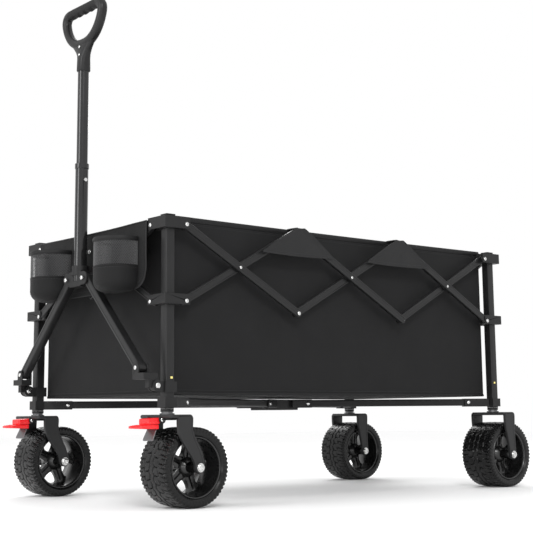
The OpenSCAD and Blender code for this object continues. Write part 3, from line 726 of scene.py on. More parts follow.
def buildGrip():
    centreX = (gripBox[0].x + gripBox[1].x) / 2
    rings = []
    count, section = gripLook["rings"], gripLook["section"]
    centres = [gripLoop(i / count) for i in range(count)]
    for i, (sideways, up, width) in enumerate(centres):
        ahead, behind = centres[(i + 1) % count], centres[i - 1]
        run = Vector((0, ahead[0] - behind[0], ahead[1] - behind[1])).normalized()
        inner = Vector((0, -run.z, run.y))
        if inner.dot(Vector((0, -sideways, (gripBox[0].z + gripBox[1].z) / 2 + 20 * mm - up))) < 0:
            inner = -inner
        points = []
        onBar = max(0, 1 - abs(i / count - 0.5) / 0.16)
        for k in range(section):
            angle = 2 * math.pi * k / section
            towards = math.cos(angle)
            bump = 0
            if towards > 0 and onBar > 0:
                bump = gripLook["bumpHeight"] * math.cos(2 * math.pi * gripLook["bumps"] * sideways / (120 * mm)) * towards ** 2
                bump *= min(1, onBar * 2)
            reach = width + bump
            # A slightly squared section
            flat = math.copysign(abs(towards) ** 0.8, towards)
            deep = math.copysign(abs(math.sin(angle)) ** 0.8, math.sin(angle))
            points.append(Vector((centreX, sideways, up)) + inner * flat * reach + Vector((1, 0, 0)) * deep * gripLook["deep"])
        rings.append(points)
    work = bmesh.new()
    made = [ring(work, points) for points in rings]
    for first, second in zip(made, made[1:] + made[:1]):
        bridge(work, first, second)
    outwards(work)
    loop = toObject("gripLoop", work, gripRubber, palmRubber, degrees=60)
    for face in loop.data.polygons:
        middle = face.center
        if abs(middle.y) < 70 * mm and middle.z > gripBox[1].z - 62 * mm:
            face.material_index = 1
    neck = []
    throatZ = gripBox[1].z - gripLook["below"]
    for z, halfY, halfX in ((gripBox[0].z, 16, 16), (gripBox[0].z + 2 * mm, 17, 17), (throatZ - 140 * mm, 18, 15.5),
                            (throatZ - 129 * mm, 22, 14), (throatZ - 118 * mm, 30, 13), (throatZ - 107 * mm, 41, 12),
                            (throatZ - 95 * mm, 54, 11.5), (throatZ - 90 * mm, 50, 9)):
        points = []
        for k in range(28):
            angle = 2 * math.pi * k / 28
            cx, cy = math.cos(angle), math.sin(angle)
            points.append((centreX + math.copysign(abs(cx) ** 0.75, cx) * halfX * mm,
                           math.copysign(abs(cy) ** 0.75, cy) * halfY * mm, z))
        neck.append(points)
    throat = toObject("gripNeck", loft(neck), gripRubber, degrees=50)
    made = join("gripHandle", [loop, throat])
    piece(made, bodyOf["grip"], "grip_rubber", "grip")
    for drop in gripLook["screws"]:
        for facing in (-1, 1):
            place = Vector((centreX + facing * 13.5 * mm, 2 * mm, gripBox[1].z - drop))
            noteRivet(bodyOf["grip"], place, Vector((facing, 0, 0)), gripLook["screwSize"])


gripBox = [Vector(corner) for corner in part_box("grip")]
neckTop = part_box("pole_inner")[1][2] + 8 * mm
buildPole()
buildGrip()


print("wheels")
wheelLook = {
    "sectors": 28, "across": 60, "around": 14, "groove": 3.0 * mm, "shoulder": 4.2 * mm, "spokes": 5, "webDepth": 13 * mm,
    "lipWidth": 3.5 * mm, "hub": 16 * mm, "boltRadius": 9.5 * mm,
}
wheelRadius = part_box("wheel_near_rear")[1][2] / 2
tyreHalf = 54 * mm
rimRadius = wheelRadius - 22 * mm


def smoothStep(low, high, value):
    t = min(1, max(0, (value - low) / (high - low)))
    return t * t * (3 - 2 * t)


def gap(value, centre, half):
    # 1 inside a groove, 0 outside, with sloped walls
    return 1 - smoothStep(half - 0.5 * mm, half + 0.6 * mm, abs(value - centre))


def treadHeight(u, y):
    # Depth below the tread's surface at u of one sector and y across, both halves staggered
    pitch = 2 * math.pi * wheelRadius / wheelLook["sectors"]
    away = abs(y)
    phase = u + (0.5 if y > 0 else 0)
    wave = 1.6 * mm * math.sin(2 * math.pi * phase)
    deep = gap(away, 8 * mm + wave, 1.3 * mm)
    if away > 8 * mm + wave:
        slant = (phase + 0.4 * (away - 8 * mm) / (46 * mm)) % 1
        inner = smoothStep(9 * mm, 11 * mm, away) * (1 - smoothStep(23 * mm, 25 * mm, away))
        outer = smoothStep(29 * mm, 31 * mm, away)
        notch = gap(slant * pitch, pitch * 0.25, 0.9 * mm) * inner
        cut = gap(slant * pitch, pitch * 0.75, 1.1 * mm) * outer
        dash = gap(slant * pitch, pitch * 0.35, 0.7 * mm) * smoothStep(34 * mm, 36 * mm, away) * 0.8
        rib = gap(away, 27 * mm + wave, 0.9 * mm) * smoothStep(0.1, 0.2, phase % 1) * (1 - smoothStep(0.7, 0.8, phase % 1))
        deep = max(deep, notch, cut, dash, rib * 0.8)
    return deep * wheelLook["groove"]


def tyreSector():
    count, around = wheelLook["across"], wheelLook["around"]
    tooth = wheelLook["shoulder"]
    work = bmesh.new()
    rings = []
    for i in range(around + 1):
        u = i / around
        angle = 2 * math.pi * u / wheelLook["sectors"]
        points = []
        for k in range(count + 1):
            y = tyreHalf * (2 * k / count - 1) * 0.965
            crown = 1.2 * mm * (y / tyreHalf) ** 2
            edge = smoothStep(0.86 * tyreHalf, 0.93 * tyreHalf, abs(y))
            notch = (1 - smoothStep(-0.2, 0.35, math.cos(4 * math.pi * (u + 0.4 * abs(y) / tyreHalf)))) * 3.4 * mm
            radius = wheelRadius - crown - max(0.8 * mm, notch) * edge - treadHeight(u, y) * (1 - edge)
            points.append((radius, y))
        # Shoulder teeth, side walls, and the closed inner face
        bite = smoothStep(-0.2, 0.35, math.cos(4 * math.pi * (u + 0.4))) * tooth
        for y, outer in ((1, True), (-1, False)):
            wall = [(wheelRadius - 3.2 * mm - (tooth - bite) * 0.7, y * (tyreHalf * 0.99 - (tooth - bite) * 0.3)),
                    (wheelRadius - 6 * mm - (tooth - bite) * 0.3, y * (tyreHalf - (tooth - bite) * 0.15)),
                    (wheelRadius - 10 * mm, y * tyreHalf), (rimRadius + 4 * mm, y * (tyreHalf - 0.6 * mm)),
                    (rimRadius + 0.5 * mm, y * (tyreHalf - 4 * mm)), (rimRadius, y * (tyreHalf - 9 * mm))]
            points += wall if outer else wall[::-1]
        rings.append(ring(work, [(radius * math.cos(angle), radius * math.sin(angle), y) for radius, y in points]))
    for first, second in zip(rings, rings[1:]):
        bridge(work, first, second)
    outwards(work)
    if sum(face.normal.z for face in work.faces if face.calc_center_median().z > tyreHalf * 0.95) < 0:
        bmesh.ops.reverse_faces(work, faces=work.faces)
    return toObject("tyreSector", work, degrees=50)


def rimShell():
    lip = wheelLook["lipWidth"]
    half = tyreHalf - 3.5 * mm
    web = wheelLook["webDepth"]
    outer = [(rimRadius - 1.4 * mm, -half), (rimRadius + 0.2 * mm, -half + 2 * mm), (rimRadius + 0.2 * mm, half - 2 * mm),
             (rimRadius - 1.4 * mm, half)]
    inner = [(rimRadius - lip, half), (rimRadius - lip - 1.5 * mm, half - 1.5 * mm), (rimRadius - lip - 2.5 * mm, half - 8 * mm),
             (rimRadius - 9.5 * mm, web + 8 * mm), (rimRadius - 13 * mm, web), (rimRadius - 13 * mm, -web),
             (rimRadius - 9.5 * mm, -web - 8 * mm), (rimRadius - lip - 2.5 * mm, -half + 8 * mm),
             (rimRadius - lip - 1.5 * mm, -half + 1.5 * mm), (rimRadius - lip, -half)]
    return toObject("rimShell", lathe(outer + inner, 96), rimPlastic, degrees=40)


def spokeSector():
    # One spoke along +X with a raised spine, flaring into the rim and the hub
    stations = ((0.10, 9, 15, 12), (0.24, 12, 15, 11), (0.34, 15, 14, 9.5), (0.44, 13, 13, 8), (0.58, 12.5, 11.5, 7),
                (0.72, 14.5, 10.5, 6.5), (0.82, 21, 10.5, 7), (0.93, 34, 11, 8))
    rings = []
    for share, half, spine, side in stations:
        x = share * rimRadius
        rings.append([(x, half * mm * a, b * mm) for a, b in (
            (-1, -side + 1.5), (-0.86, -side), (-0.35, -side - 0.5), (-0.2, -spine), (0.2, -spine), (0.35, -side - 0.5),
            (0.86, -side), (1, -side + 1.5), (1, side - 1.5), (0.86, side), (0.35, side + 0.5), (0.2, spine),
            (-0.2, spine), (-0.35, side + 0.5), (-0.86, side), (-1, side - 1.5))])
    return toObject("spoke", loft(rings), degrees=50)


def hubShell():
    hub, reach = wheelLook["hub"], tyreHalf + 1.5 * mm
    profile = [(0, -reach), (hub - 5 * mm, -reach), (hub - 4.2 * mm, -reach + 1 * mm), (hub - 3 * mm, -24 * mm),
               (hub + 3 * mm, -20 * mm), (hub + 8 * mm, -14 * mm), (hub + 8 * mm, 14 * mm), (hub + 3 * mm, 20 * mm),
               (hub - 3 * mm, 24 * mm), (hub - 4.2 * mm, reach - 1 * mm), (hub - 5 * mm, reach), (0, reach)]
    return toObject("hubShell", lathe(profile, 48), rimPlastic, degrees=40)


def buildWheel(source):
    low, high = (Vector(corner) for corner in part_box(source))
    centre = (low + high) / 2
    place = alongY(centre)
    tyre = runTree(tyreSector(), sectors, treadRubber, Count=wheelLook["sectors"])
    spokes = runTree(spokeSector(), sectors, rimPlastic, Count=wheelLook["spokes"])
    spokes.data.transform(Matrix.Rotation(math.radians(-7), 4, "Z"))
    wheel = join(source.replace("wheel", "rim"), [spokes, rimShell(), hubShell()])
    for made, name in ((tyre, source.replace("wheel", "tyre")), (wheel, wheel.name)):
        made.name = name
        made.data.transform(place)
        smooth(made, 38)
        piece(made, bodyOf[source], "wheel_plastic", source)


for source in ("wheel_near_front", "wheel_near_rear", "wheel_far_front", "wheel_far_rear"):
    buildWheel(source)


print("forks and pedals")
forkLook = {"plate": 9 * mm, "leg": 9 * mm, "edge": 1.6 * mm, "legTop": 22 * mm, "legEnd": 14 * mm, "rim": 2.4 * mm,
            "rimRise": 0.9 * mm, "clear": 57 * mm}
pedalLook = {"half": 21 * mm, "short": 5 * mm}


def slab(name, outline, axis, low, high, edge, finishUsed, inset=None):
    # A plate with a rounded edge between low and high along an axis ("Y" or "Z"); inset = (border, depth) sinks
    # its high face within a border
    centre = np.array(outline).mean(axis=0)

    def shrunk(amount):
        points = []
        count = len(outline)
        for i in range(count):
            before, here, after = (np.array(outline[(i + k) % count]) for k in (-1, 0, 1))
            normals = []
            for a, b in ((before, here), (here, after)):
                run = (b - a) / max(np.linalg.norm(b - a), 1e-9)
                normal = np.array((-run[1], run[0]))
                normals.append(normal)
            bisector = normals[0] + normals[1]
            bisector /= max(bisector @ bisector / 2, 0.35)
            points.append(here + bisector * amount * turn)
        return points

    area = sum(a[0] * b[1] - a[1] * b[0] for a, b in zip(outline, outline[1:] + outline[:1]))
    turn = 1 if area > 0 else -1
    levels = [(edge, low), (edge * 0.3, low + edge * 0.3), (0, low + edge), (0, high - edge), (edge * 0.3, high - edge * 0.3),
              (edge, high)]
    if inset:
        levels += [(edge + inset[0], high), (edge + inset[0] + 0.5 * mm, high - inset[1])]
    rings = []
    for amount, level in levels:
        rings.append([(p[0], level, p[1]) if axis == "Y" else (p[0], p[1], level) for p in shrunk(amount)])
    return toObject(name, loft(rings), finishUsed, degrees=32)


def sweepOutline(line, ends=10):
    # Outline of a strip about a curved centre line of (x, z, half width), with a round far end
    left, right = [], []
    for i, (x, z, half) in enumerate(line):
        ahead, behind = line[min(i + 1, len(line) - 1)], line[max(i - 1, 0)]
        run = Vector((ahead[0] - behind[0], ahead[1] - behind[1])).normalized()
        left.append((x - run.y * half, z + run.x * half))
        right.append((x + run.y * half, z - run.x * half))
    x, z, half = line[-1]
    start = math.atan2(left[-1][1] - z, left[-1][0] - x)
    cap = [(x + half * math.cos(start - math.pi * i / ends), z + half * math.sin(start - math.pi * i / ends))
           for i in range(1, ends)]
    return left + cap + right[::-1]


def buildFork(source):
    low, high = (Vector(corner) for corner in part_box(source))
    body = bodyOf[source]
    front = "front" in source
    side = "near" if "near" in source else "far"
    stemX, stemY = postX["front" if front else "rear"], postY[side]
    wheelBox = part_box(source.replace("fork", "wheel"))
    axleX, axleZ = (wheelBox[0][0] + wheelBox[1][0]) / 2, wheelRadius
    top = wheelRadius * 2 + 29 * mm
    clear, leg = forkLook["clear"], forkLook["leg"]
    parts = []
    legX = stemX + (8 * mm if front else -1 * mm)
    line = []
    for i in range(15):
        t = i / 14
        bend = smoothStep(0.22, 1.0, t)
        line.append((legX + (axleX - legX) * bend, top + (axleZ - top) * t,
                     forkLook["legTop"] + (forkLook["legEnd"] - forkLook["legTop"]) * smoothStep(0.1, 0.9, t)))
    # The leg's upper corners are rounded off
    for drop, inset in ((0.5, 7), (2.5, 3), (7, 0.6)):
        line.insert(line.index(line[0]) if drop == 0.5 else int(drop > 3) + 1,
                    (legX, top - drop * mm, forkLook["legTop"] - inset * mm))
    line = sorted(line[:], key=lambda stop: -stop[1])[1:]
    outline = sweepOutline(line)
    for s in (-1, 1):
        lowY, highY = stemY + s * clear, stemY + s * (clear + leg)
        made = slab(source, outline, "Y", 0, leg, forkLook["edge"], forkCoat, (forkLook["rim"], forkLook["rimRise"]))
        turn = Matrix.Diagonal((1, s, 1, 1))
        made.data.transform(Matrix.Translation((0, lowY, 0)) @ turn)
        if s < 0:
            made.data.flip_normals()
        parts.append(made)
        # Boss around the axle
        boss = toObject(source, lathe([(0, 0), (13 * mm, 0), (13 * mm, 1.6 * mm), (12 * mm, 2.4 * mm), (0, 2.4 * mm)], 32),
                        forkCoat)
        boss.data.transform(Matrix.Translation((axleX, highY - s * 1.2 * mm, axleZ)) @ Matrix.Rotation(-s * math.pi / 2, 4, "X"))
        parts.append(boss)
    reachFront = 36 * mm if front else 24 * mm
    corner = 9 * mm
    left, right = stemX - reachFront, legX + forkLook["legTop"]
    halfY = clear + leg
    plate = [(x + sx * corner * (math.cos(a) - 1), stemY + sy * halfY + sy * corner * (math.sin(a) - 1))
             for x, sx, sy, turns in ((right, 1, 1, (0, 1, 2, 3)), (left, -1, 1, (3, 2, 1, 0)), (left, -1, -1, (0, 1, 2, 3)),
                                      (right, 1, -1, (3, 2, 1, 0)))
             for a in (math.pi / 6 * k for k in turns)]
    parts.append(slab(source, plate, "Z", top - forkLook["plate"], top, 3.6 * mm, forkCoat))
    # Front skirt of the plate, which shows as a dark box between the legs
    if front:
        skirt = [(left + 1.5 * mm, stemY - 30 * mm), (left + 1.5 * mm, stemY + 30 * mm), (left + 5 * mm, stemY + 33 * mm),
                 (stemX + 4 * mm, stemY + 33 * mm), (stemX + 4 * mm, stemY - 33 * mm), (left + 5 * mm, stemY - 33 * mm)]
        parts.append(slab(source, skirt, "Z", top - 13 * mm, top - 3 * mm, 1.2 * mm, mouldedBlack))
    made = join(source + "_legs", parts)
    piece(made, body, "fork_metal", source)
    # Bearing races between the post and the plate
    race = [(0, 0), (17 * mm, 0), (18 * mm, 1 * mm), (18 * mm, 3.4 * mm), (13.5 * mm, 4.4 * mm), (13.5 * mm, 6.6 * mm),
            (15.5 * mm, 7.2 * mm), (15.5 * mm, 9 * mm), (0, 9 * mm)]
    bearing = toObject(source + "_bearing", lathe([(r, z - 0.5 * mm) for r, z in race], 48), brakeSteel)
    bearing.data.transform(Matrix.Translation((stemX, stemY, top)))
    metal = [bearing]
    for s in (-1, 1):
        outer = stemY + s * (clear + leg + 1 * mm)
        washer = lathe([(0, 0), (10.5 * mm, 0), (10.5 * mm, 1.4 * mm), (0, 1.4 * mm)], 36)
        nut = lathe([(0, 1 * mm), (8.6 * mm, 1 * mm), (8.6 * mm, 4.4 * mm), (7.2 * mm, 5.6 * mm), (4.4 * mm, 5.9 * mm),
                     (4.1 * mm, 4 * mm), (0, 4 * mm)], 28)
        end = lathe([(0, 3.8 * mm), (2.6 * mm, 3.8 * mm), (2.2 * mm, 4.6 * mm), (0, 4.6 * mm)], 6)
        for work in (washer, nut, end):
            bolt = toObject(source, work, zinc, degrees=30)
            bolt.data.transform(Matrix.Translation((axleX, outer, axleZ)) @ Matrix.Rotation(-s * math.pi / 2, 4, "X"))
            metal.append(bolt)
    axle = toObject(source, lathe([(0, -clear - leg), (6 * mm, -clear - leg), (6 * mm, clear + leg), (0, clear + leg)], 24), zinc)
    axle.data.transform(alongY((axleX, stemY, axleZ)))
    metal.append(axle)
    piece(join(source + "_hardware", metal), body, "steel", source)
    if front:
        pinX, pinZ = spot(f"pedal_{side}_press").x, spot(f"pedal_{side}_press").z
        for s in (-1, 1):
            noteRivet(body, Vector((pinX, stemY + s * 27 * mm, pinZ)), Vector((0, s, 0)), 1.0)
            ear = [(pinX + 9 * mm * math.cos(a), pinZ + 9 * mm * math.sin(a)) for a in (math.pi / 8 * k for k in range(-8, 1))]
            ear += [(pinX + 9 * mm, top - 4 * mm), (pinX - 9 * mm, top - 4 * mm)]
            lug = slab(f"{source}_ear_{'near' if s < 0 else 'far'}", ear, "Y", stemY + s * 25 * mm - 1.8 * mm,
                       stemY + s * 25 * mm + 1.8 * mm, 0.6 * mm, mouldedBlack)
            piece(lug, body, "fork_metal")


def buildPedal(side):
    source = f"pedal_{side}"
    pin, y = spot(f"pedal_{side}_press"), postY[side]
    half = pedalLook["half"]
    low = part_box(source)[0][0]
    tip = low + pedalLook["short"]
    upper = [(pin.x - 5 * mm, y - half), (pin.x - 5 * mm, y + half), (pin.x - 34 * mm, y + half - 1 * mm),
             (pin.x - 38 * mm, y + half - 5 * mm), (pin.x - 38 * mm, y - half + 5 * mm), (pin.x - 34 * mm, y - half + 1 * mm)]
    lower = [(pin.x - 8 * mm, y - half - 1 * mm), (pin.x - 8 * mm, y + half + 1 * mm), (tip + 12 * mm, y + half + 3 * mm),
             (tip + 3 * mm, y + half - 3 * mm), (tip, y + half - 10 * mm), (tip, y - half + 10 * mm),
             (tip + 3 * mm, y - half + 3 * mm), (tip + 12 * mm, y - half - 3 * mm)]
    parts = [slab(source, upper, "Z", pin.z - 10 * mm, pin.z + 5 * mm, 2.4 * mm, pedalRed),
             slab(source, lower, "Z", pin.z - 22 * mm, pin.z - 10.5 * mm, 2 * mm, pedalRed)]
    for vert in parts[0].data.vertices:
        # The upper step dips toward its free end
        vert.co.z -= 0.08 * max(0, pin.x - 10 * mm - vert.co.x)
    for vert in parts[1].data.vertices:
        # The lower step thins to a lip
        share = max(0, min(1, (pin.x - 24 * mm - vert.co.x) / (pin.x - 24 * mm - tip)))
        middle = pin.z - 15 * mm
        vert.co.z = middle + (vert.co.z - middle) * (1 - 0.55 * share) - 1.5 * mm * share
    for k in range(4):
        x = tip + 6 * mm + 5 * mm * k
        parts.append(slab(source, [(x, y - half + 5 * mm), (x, y + half - 5 * mm), (x + 1.6 * mm, y + half - 5 * mm),
                                   (x + 1.6 * mm, y - half + 5 * mm)], "Z", pin.z - (14.2 - 0.6 * k) * mm,
                          pin.z - (13 - 0.6 * k) * mm, 0.4 * mm, pedalRed))
    piece(join(source + "_tread", parts), bodyOf[source], "pedal_red", source)
    barrel = toObject(source + "_barrel", lathe([(0, -half), (7 * mm, -half), (7.6 * mm, -half + 1 * mm),
                                                 (7.6 * mm, half - 1 * mm), (7 * mm, half), (0, half)], 32), mouldedBlack)
    barrel.data.transform(alongY((pin.x, y, pin.z)))
    # The grey tongue that bears on the tyre, bent once
    rings = []
    for x, z, wide in ((-8, -12, 17), (-12, -22, 19), (-22, -44, 21), (-23, -47, 21), (-21.5, -49, 20.5)):
        rings.append([(pin.x + (x + dx) * mm, y + s * wide * mm, pin.z + z * mm) for dx, s in
                      ((-1.3, -1), (-1.3, 1), (1.3, 1), (1.3, -1))])
    tongue = soften(toObject(source + "_tongue", loft(rings), brakeSteel), 0.5 * mm)
    piece(barrel, bodyOf[source], "bracket", source)
    piece(tongue, bodyOf[source], "steel", source)


for source in ("fork_near_front", "fork_near_rear", "fork_far_front", "fork_far_rear"):
    buildFork(source)
for side in ("near", "far"):
    buildPedal(side)


print("fabric: walls and floor")
clothLook = {
    "thick": 1.8 * mm, "columns": 96, "rows": 36, "bulge": 5 * mm, "wrinkle": 1.6 * mm, "rimSag": 2 * mm,
    "hemRadius": 3.6 * mm, "rimRadius": 5.5 * mm, "stitchIn": 9 * mm, "tape": 1.2 * mm,
}
middle = Vector((middleX, 0, 0))


def grid(name, columns, rows, place, size, finishUsed):
    # A sheet over u and v from 0 to 1, with its UV map in metres of cloth
    work = bmesh.new()
    verts = [[work.verts.new(place(i / columns, k / rows)) for i in range(columns + 1)] for k in range(rows + 1)]
    layer = work.loops.layers.uv.new("cloth")
    for k in range(rows):
        for i in range(columns):
            face = work.faces.new((verts[k][i], verts[k][i + 1], verts[k + 1][i + 1], verts[k + 1][i]))
            for loop, (a, b) in zip(face.loops, ((i, k), (i + 1, k), (i + 1, k + 1), (i, k + 1))):
                loop[layer].uv = (a / columns * size[0], b / rows * size[1])
    return toObject(name, work, finishUsed, degrees=80)


def thicken(obj, thick):
    solid = obj.modifiers.new("thick", "SOLIDIFY")
    solid.thickness, solid.offset = thick, 0
    return smooth(settle(obj), 80)


def cordAlong(name, points, radius, finishUsed, sides=8, wide=1.0, closed=False, normal=None):
    # A tube through the points; wide stretches its section along normal
    rings = []
    count = len(points)
    for i, point in enumerate(points):
        ahead = points[(i + 1) % count] if closed else points[min(i + 1, count - 1)]
        behind = points[i - 1] if closed or i else points[0]
        run = (Vector(ahead) - Vector(behind)).normalized()
        side = run.cross(normal or Vector((0, 0, 1)))
        side = side.normalized() if side.length > 1e-4 else Vector((1, 0, 0))
        other = side.cross(run).normalized()
        rings.append([Vector(point) + side * radius * math.cos(a) + other * radius * wide * math.sin(a)
                      for a in (2 * math.pi * k / sides for k in range(sides))])
    if closed:
        work = bmesh.new()
        made = [ring(work, row) for row in rings]
        for first, second in zip(made, made[1:] + made[:1]):
            bridge(work, first, second)
        outwards(work)
    else:
        work = loft(rings)
    return toObject(name, work, finishUsed, degrees=60)


def stitchLine(name, points, spacing=5 * mm, thickness=0.45 * mm):
    work = bmesh.new()
    made = ring(work, points)
    for first, second in zip(made, made[1:]):
        work.edges.new((first, second))
    return runTree(toObject(name, work), stitches, thread, Spacing=spacing, Length=3.2 * mm, Thickness=thickness)


def wallShape(start, end, low, high, facing):
    # The cloth hangs from its rim between two posts, bellies a little and puckers near its corners
    start, end, facing = Vector(start), Vector(end), Vector(facing)

    def place(u, v):
        slack = math.sin(math.pi * u)
        sag = clothLook["rimSag"] * slack ** 0.8 * v ** 6
        belly = clothLook["bulge"] * slack ** 0.6 * math.sin(math.pi * min(1, v * 1.02)) * 0.8
        spotHere = start.lerp(end, u)
        z = low + (high - low) * v - sag
        near = noise.noise(Vector((spotHere.x * 5, spotHere.y * 5, z * 7 + 3)))
        fine = noise.noise(Vector((spotHere.x * 17, spotHere.y * 17, z * 9 + 11)))
        corner = max(0, 1 - min(u, 1 - u) * 7) * (v - 0.5)
        fold = math.sin((min(u, 1 - u) * 60 + v * 9)) * corner * 0.8
        ease = min(1, 12 * min(u, 1 - u), 10 * v + 0.2, 10 * (1 - v) + 0.2)
        ripple = clothLook["wrinkle"] * (near + 0.45 * fine + fold) * ease
        return spotHere + facing * (belly + ripple) + Vector((0, 0, z))
    return place


def foldWith(obj, body):
    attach(obj, body)
    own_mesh(obj)
    return obj


def buildWall(source, start, end, facing, body, span):
    low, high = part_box(source)[0][2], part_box(source)[1][2]
    place = wallShape(start, end, low, high - 2 * mm, facing)
    columns = clothLook["columns"] if span > 0.8 else clothLook["columns"] // 2
    size = (span, high - low)
    cloth = thicken(grid(source + "_cloth", columns, clothLook["rows"], place, size, oxford), clothLook["thick"])
    out = Vector(facing)
    steps = columns
    rim = [place(i / steps, 1) + Vector((0, 0, 0.5 * mm)) for i in range(steps + 1)]
    foot = [place(i / steps, 0) + Vector((0, 0, clothLook["hemRadius"])) + out * 1 * mm for i in range(steps + 1)]
    rimTape = cordAlong(source + "_rim", rim, clothLook["rimRadius"] * 0.62, binding, 10, 2.1)
    footTape = cordAlong(source + "_hem", foot, clothLook["hemRadius"] * 0.7, binding, 8, 1.3)
    lines = []
    for v, level in ((1, -clothLook["stitchIn"]), (1, -clothLook["stitchIn"] - 4 * mm), (0, clothLook["stitchIn"] + 3 * mm)):
        for side in (1, -1):
            path = [place(i / steps, min(1, max(0, v + level / (high - low)))) + out * side * (clothLook["thick"] / 2 + 0.15 * mm)
                    for i in range(1, steps)]
            lines.append(stitchLine(source + "_stitch", path))
    seams = join(source + "_stitches", lines)
    extra = [rimTape, footTape, seams]
    foldWith(cloth, body)
    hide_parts(source)
    for made in extra:
        foldWith(made, body)
    return place


def buildFlap(name, place, centreX, apex, foot, half, body):
    # A triangular hood that hangs over the bars' upper joint, sewn to the wall at its apex
    columns, rows = 24, 18
    top, lip = 12 * mm, 0.78
    facing = -1 if "near" in name else 1
    y0 = place(0.5, 0.98).y
    plane = flapLook["stand"]

    def shape(u, v):
        # v runs up from the lower edge over the bars' joint to the rim, u across
        width = top + (half - top) * (1 - min(1, v / lip)) ** 0.94
        x = centreX + (2 * u - 1) * width - flapLook["lean"] * (1 - v)
        back = max(0, (v - lip) / (1 - lip))
        z = foot + (apex - foot) * min(1, v / lip) ** 0.97 + 1.8 * mm * math.sin(back * math.pi / 2)
        z -= 2.5 * mm * math.sin(math.pi * u) * (1 - v)
        away = plane * (1 - back ** 1.6) - 2 * mm * (1 - abs(2 * u - 1)) * (1 - v)
        ripple = 0.8 * mm * noise.noise(Vector((x * 22, z * 22, 5)))
        return Vector((x, y0 + facing * (away + ripple), z))

    size = (2 * half, apex - foot + plane)
    cloth = thicken(grid(name, columns, rows, shape, size, flapCloth), 1.6 * mm)
    edge = [shape(i / columns, 0) for i in range(columns + 1)]
    sides = [[shape(s, k / rows) for k in range(rows + 1)] for s in (0, 1)]
    tapes = [cordAlong(name + "_edge", edge, 1.3 * mm, flapCloth, 6, 1.6)]
    tapes += [cordAlong(name + "_edge", side, 1.1 * mm, flapCloth, 6, 1.4) for side in sides]
    inset = [shape(0.03 + 0.94 * i / columns, 0.06) + Vector((0, facing * 1.0 * mm, 0)) for i in range(columns + 1)]
    lines = [stitchLine(name + "_stitch", inset)]
    for s in (0.06, 0.94):
        lines.append(stitchLine(name + "_stitch", [shape(s, k / rows) + Vector((0, facing * 1.0 * mm, 0))
                                                   for k in range(1, rows)]))
    trim = [join(name + "_trim", tapes), join(name + "_stitches", lines)]
    for made in [cloth] + trim:
        foldWith(made, body)


flapLook = {"places": (-0.177, 0.198), "apex": 0.5 * mm, "foot": 72 * mm, "half": 123 * mm, "lean": 12 * mm, "stand": 47 * mm}


def buildTub():
    inX = {end: postX[end] - outward[end] * 19.2 * mm for end in ("front", "rear")}
    inY = {side: postY[side] - outward[side] * 19.2 * mm for side in ("near", "far")}
    spanX, spanY = inX["rear"] - inX["front"], inY["far"] - inY["near"]
    for side, body in (("near", "near_rear_corner"), ("far", "far_rear_corner")):
        start, end = (inX["front"], inY[side], 0), (inX["rear"], inY[side], 0)
        place = buildWall(f"wall_{side}", start, end, (0, outward[side], 0), body, spanX)
        for k, x in enumerate(flapLook["places"]):
            buildFlap(f"flap_{side}_{k + 1}", place, x, rimZ - flapLook["apex"], rimZ - flapLook["foot"],
                      flapLook["half"], body)
    for end, body in (("front", "near_front_corner"), ("rear", "near_rear_corner")):
        start, stop = (inX[end], inY["near"] + 3 * mm, 0), (inX[end], inY["far"] - 3 * mm, 0)
        buildWall(f"wall_{end}", start, stop, (outward[end], 0, 0), body, spanY)
    return inX, inY


floorLook = {"cut": 78 * mm, "cover": 92 * mm, "corner": 20 * mm}


def cutCorner(obj, centre, reach):
    # The quarters stop short of the middle, so that their tips stay under the hub's cover as they fold up
    work = bmesh.new()
    work.from_mesh(obj.data)
    gone = [face for face in work.faces if (face.calc_center_median() - centre).xy.length < reach]
    bmesh.ops.delete(work, geom=gone, context="FACES")
    work.to_mesh(obj.data)
    work.free()


def buildHubCover(low):
    half, corner = floorLook["cover"], floorLook["corner"]

    def shape(u, v):
        # A square patch with round corners, set corner-on to the wagon's sides
        x, y = 2 * u - 1, 2 * v - 1
        pull = 1 - 0.29 * corner / half * min(abs(x), abs(y)) ** 4
        rise = 0.8 * mm * (1 - max(abs(x), abs(y)) ** 2)
        return Vector((middleX + x * half * pull, y * half * pull, low + 5 * mm + rise))

    cover = thicken(grid("floor_middle", 16, 16, shape, (2 * half, 2 * half), oxford), clothLook["thick"])
    edge = [shape(i / 16, 0) for i in range(16)] + [shape(1, i / 16) for i in range(16)]
    edge += [shape(1 - i / 16, 1) for i in range(16)] + [shape(0, 1 - i / 16) for i in range(16)]
    inner = [Vector((middleX, 0, low + 6.4 * mm)).lerp(point + Vector((0, 0, 1.4 * mm)), 0.92) for point in edge]
    trim = [cordAlong("floor_middle_edge", edge, 1.2 * mm, binding, 6, 1.6, True),
            stitchLine("floor_middle_stitches", inner + inner[:1])]
    for made in [cover] + trim:
        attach(made, bodyOf["hub"])


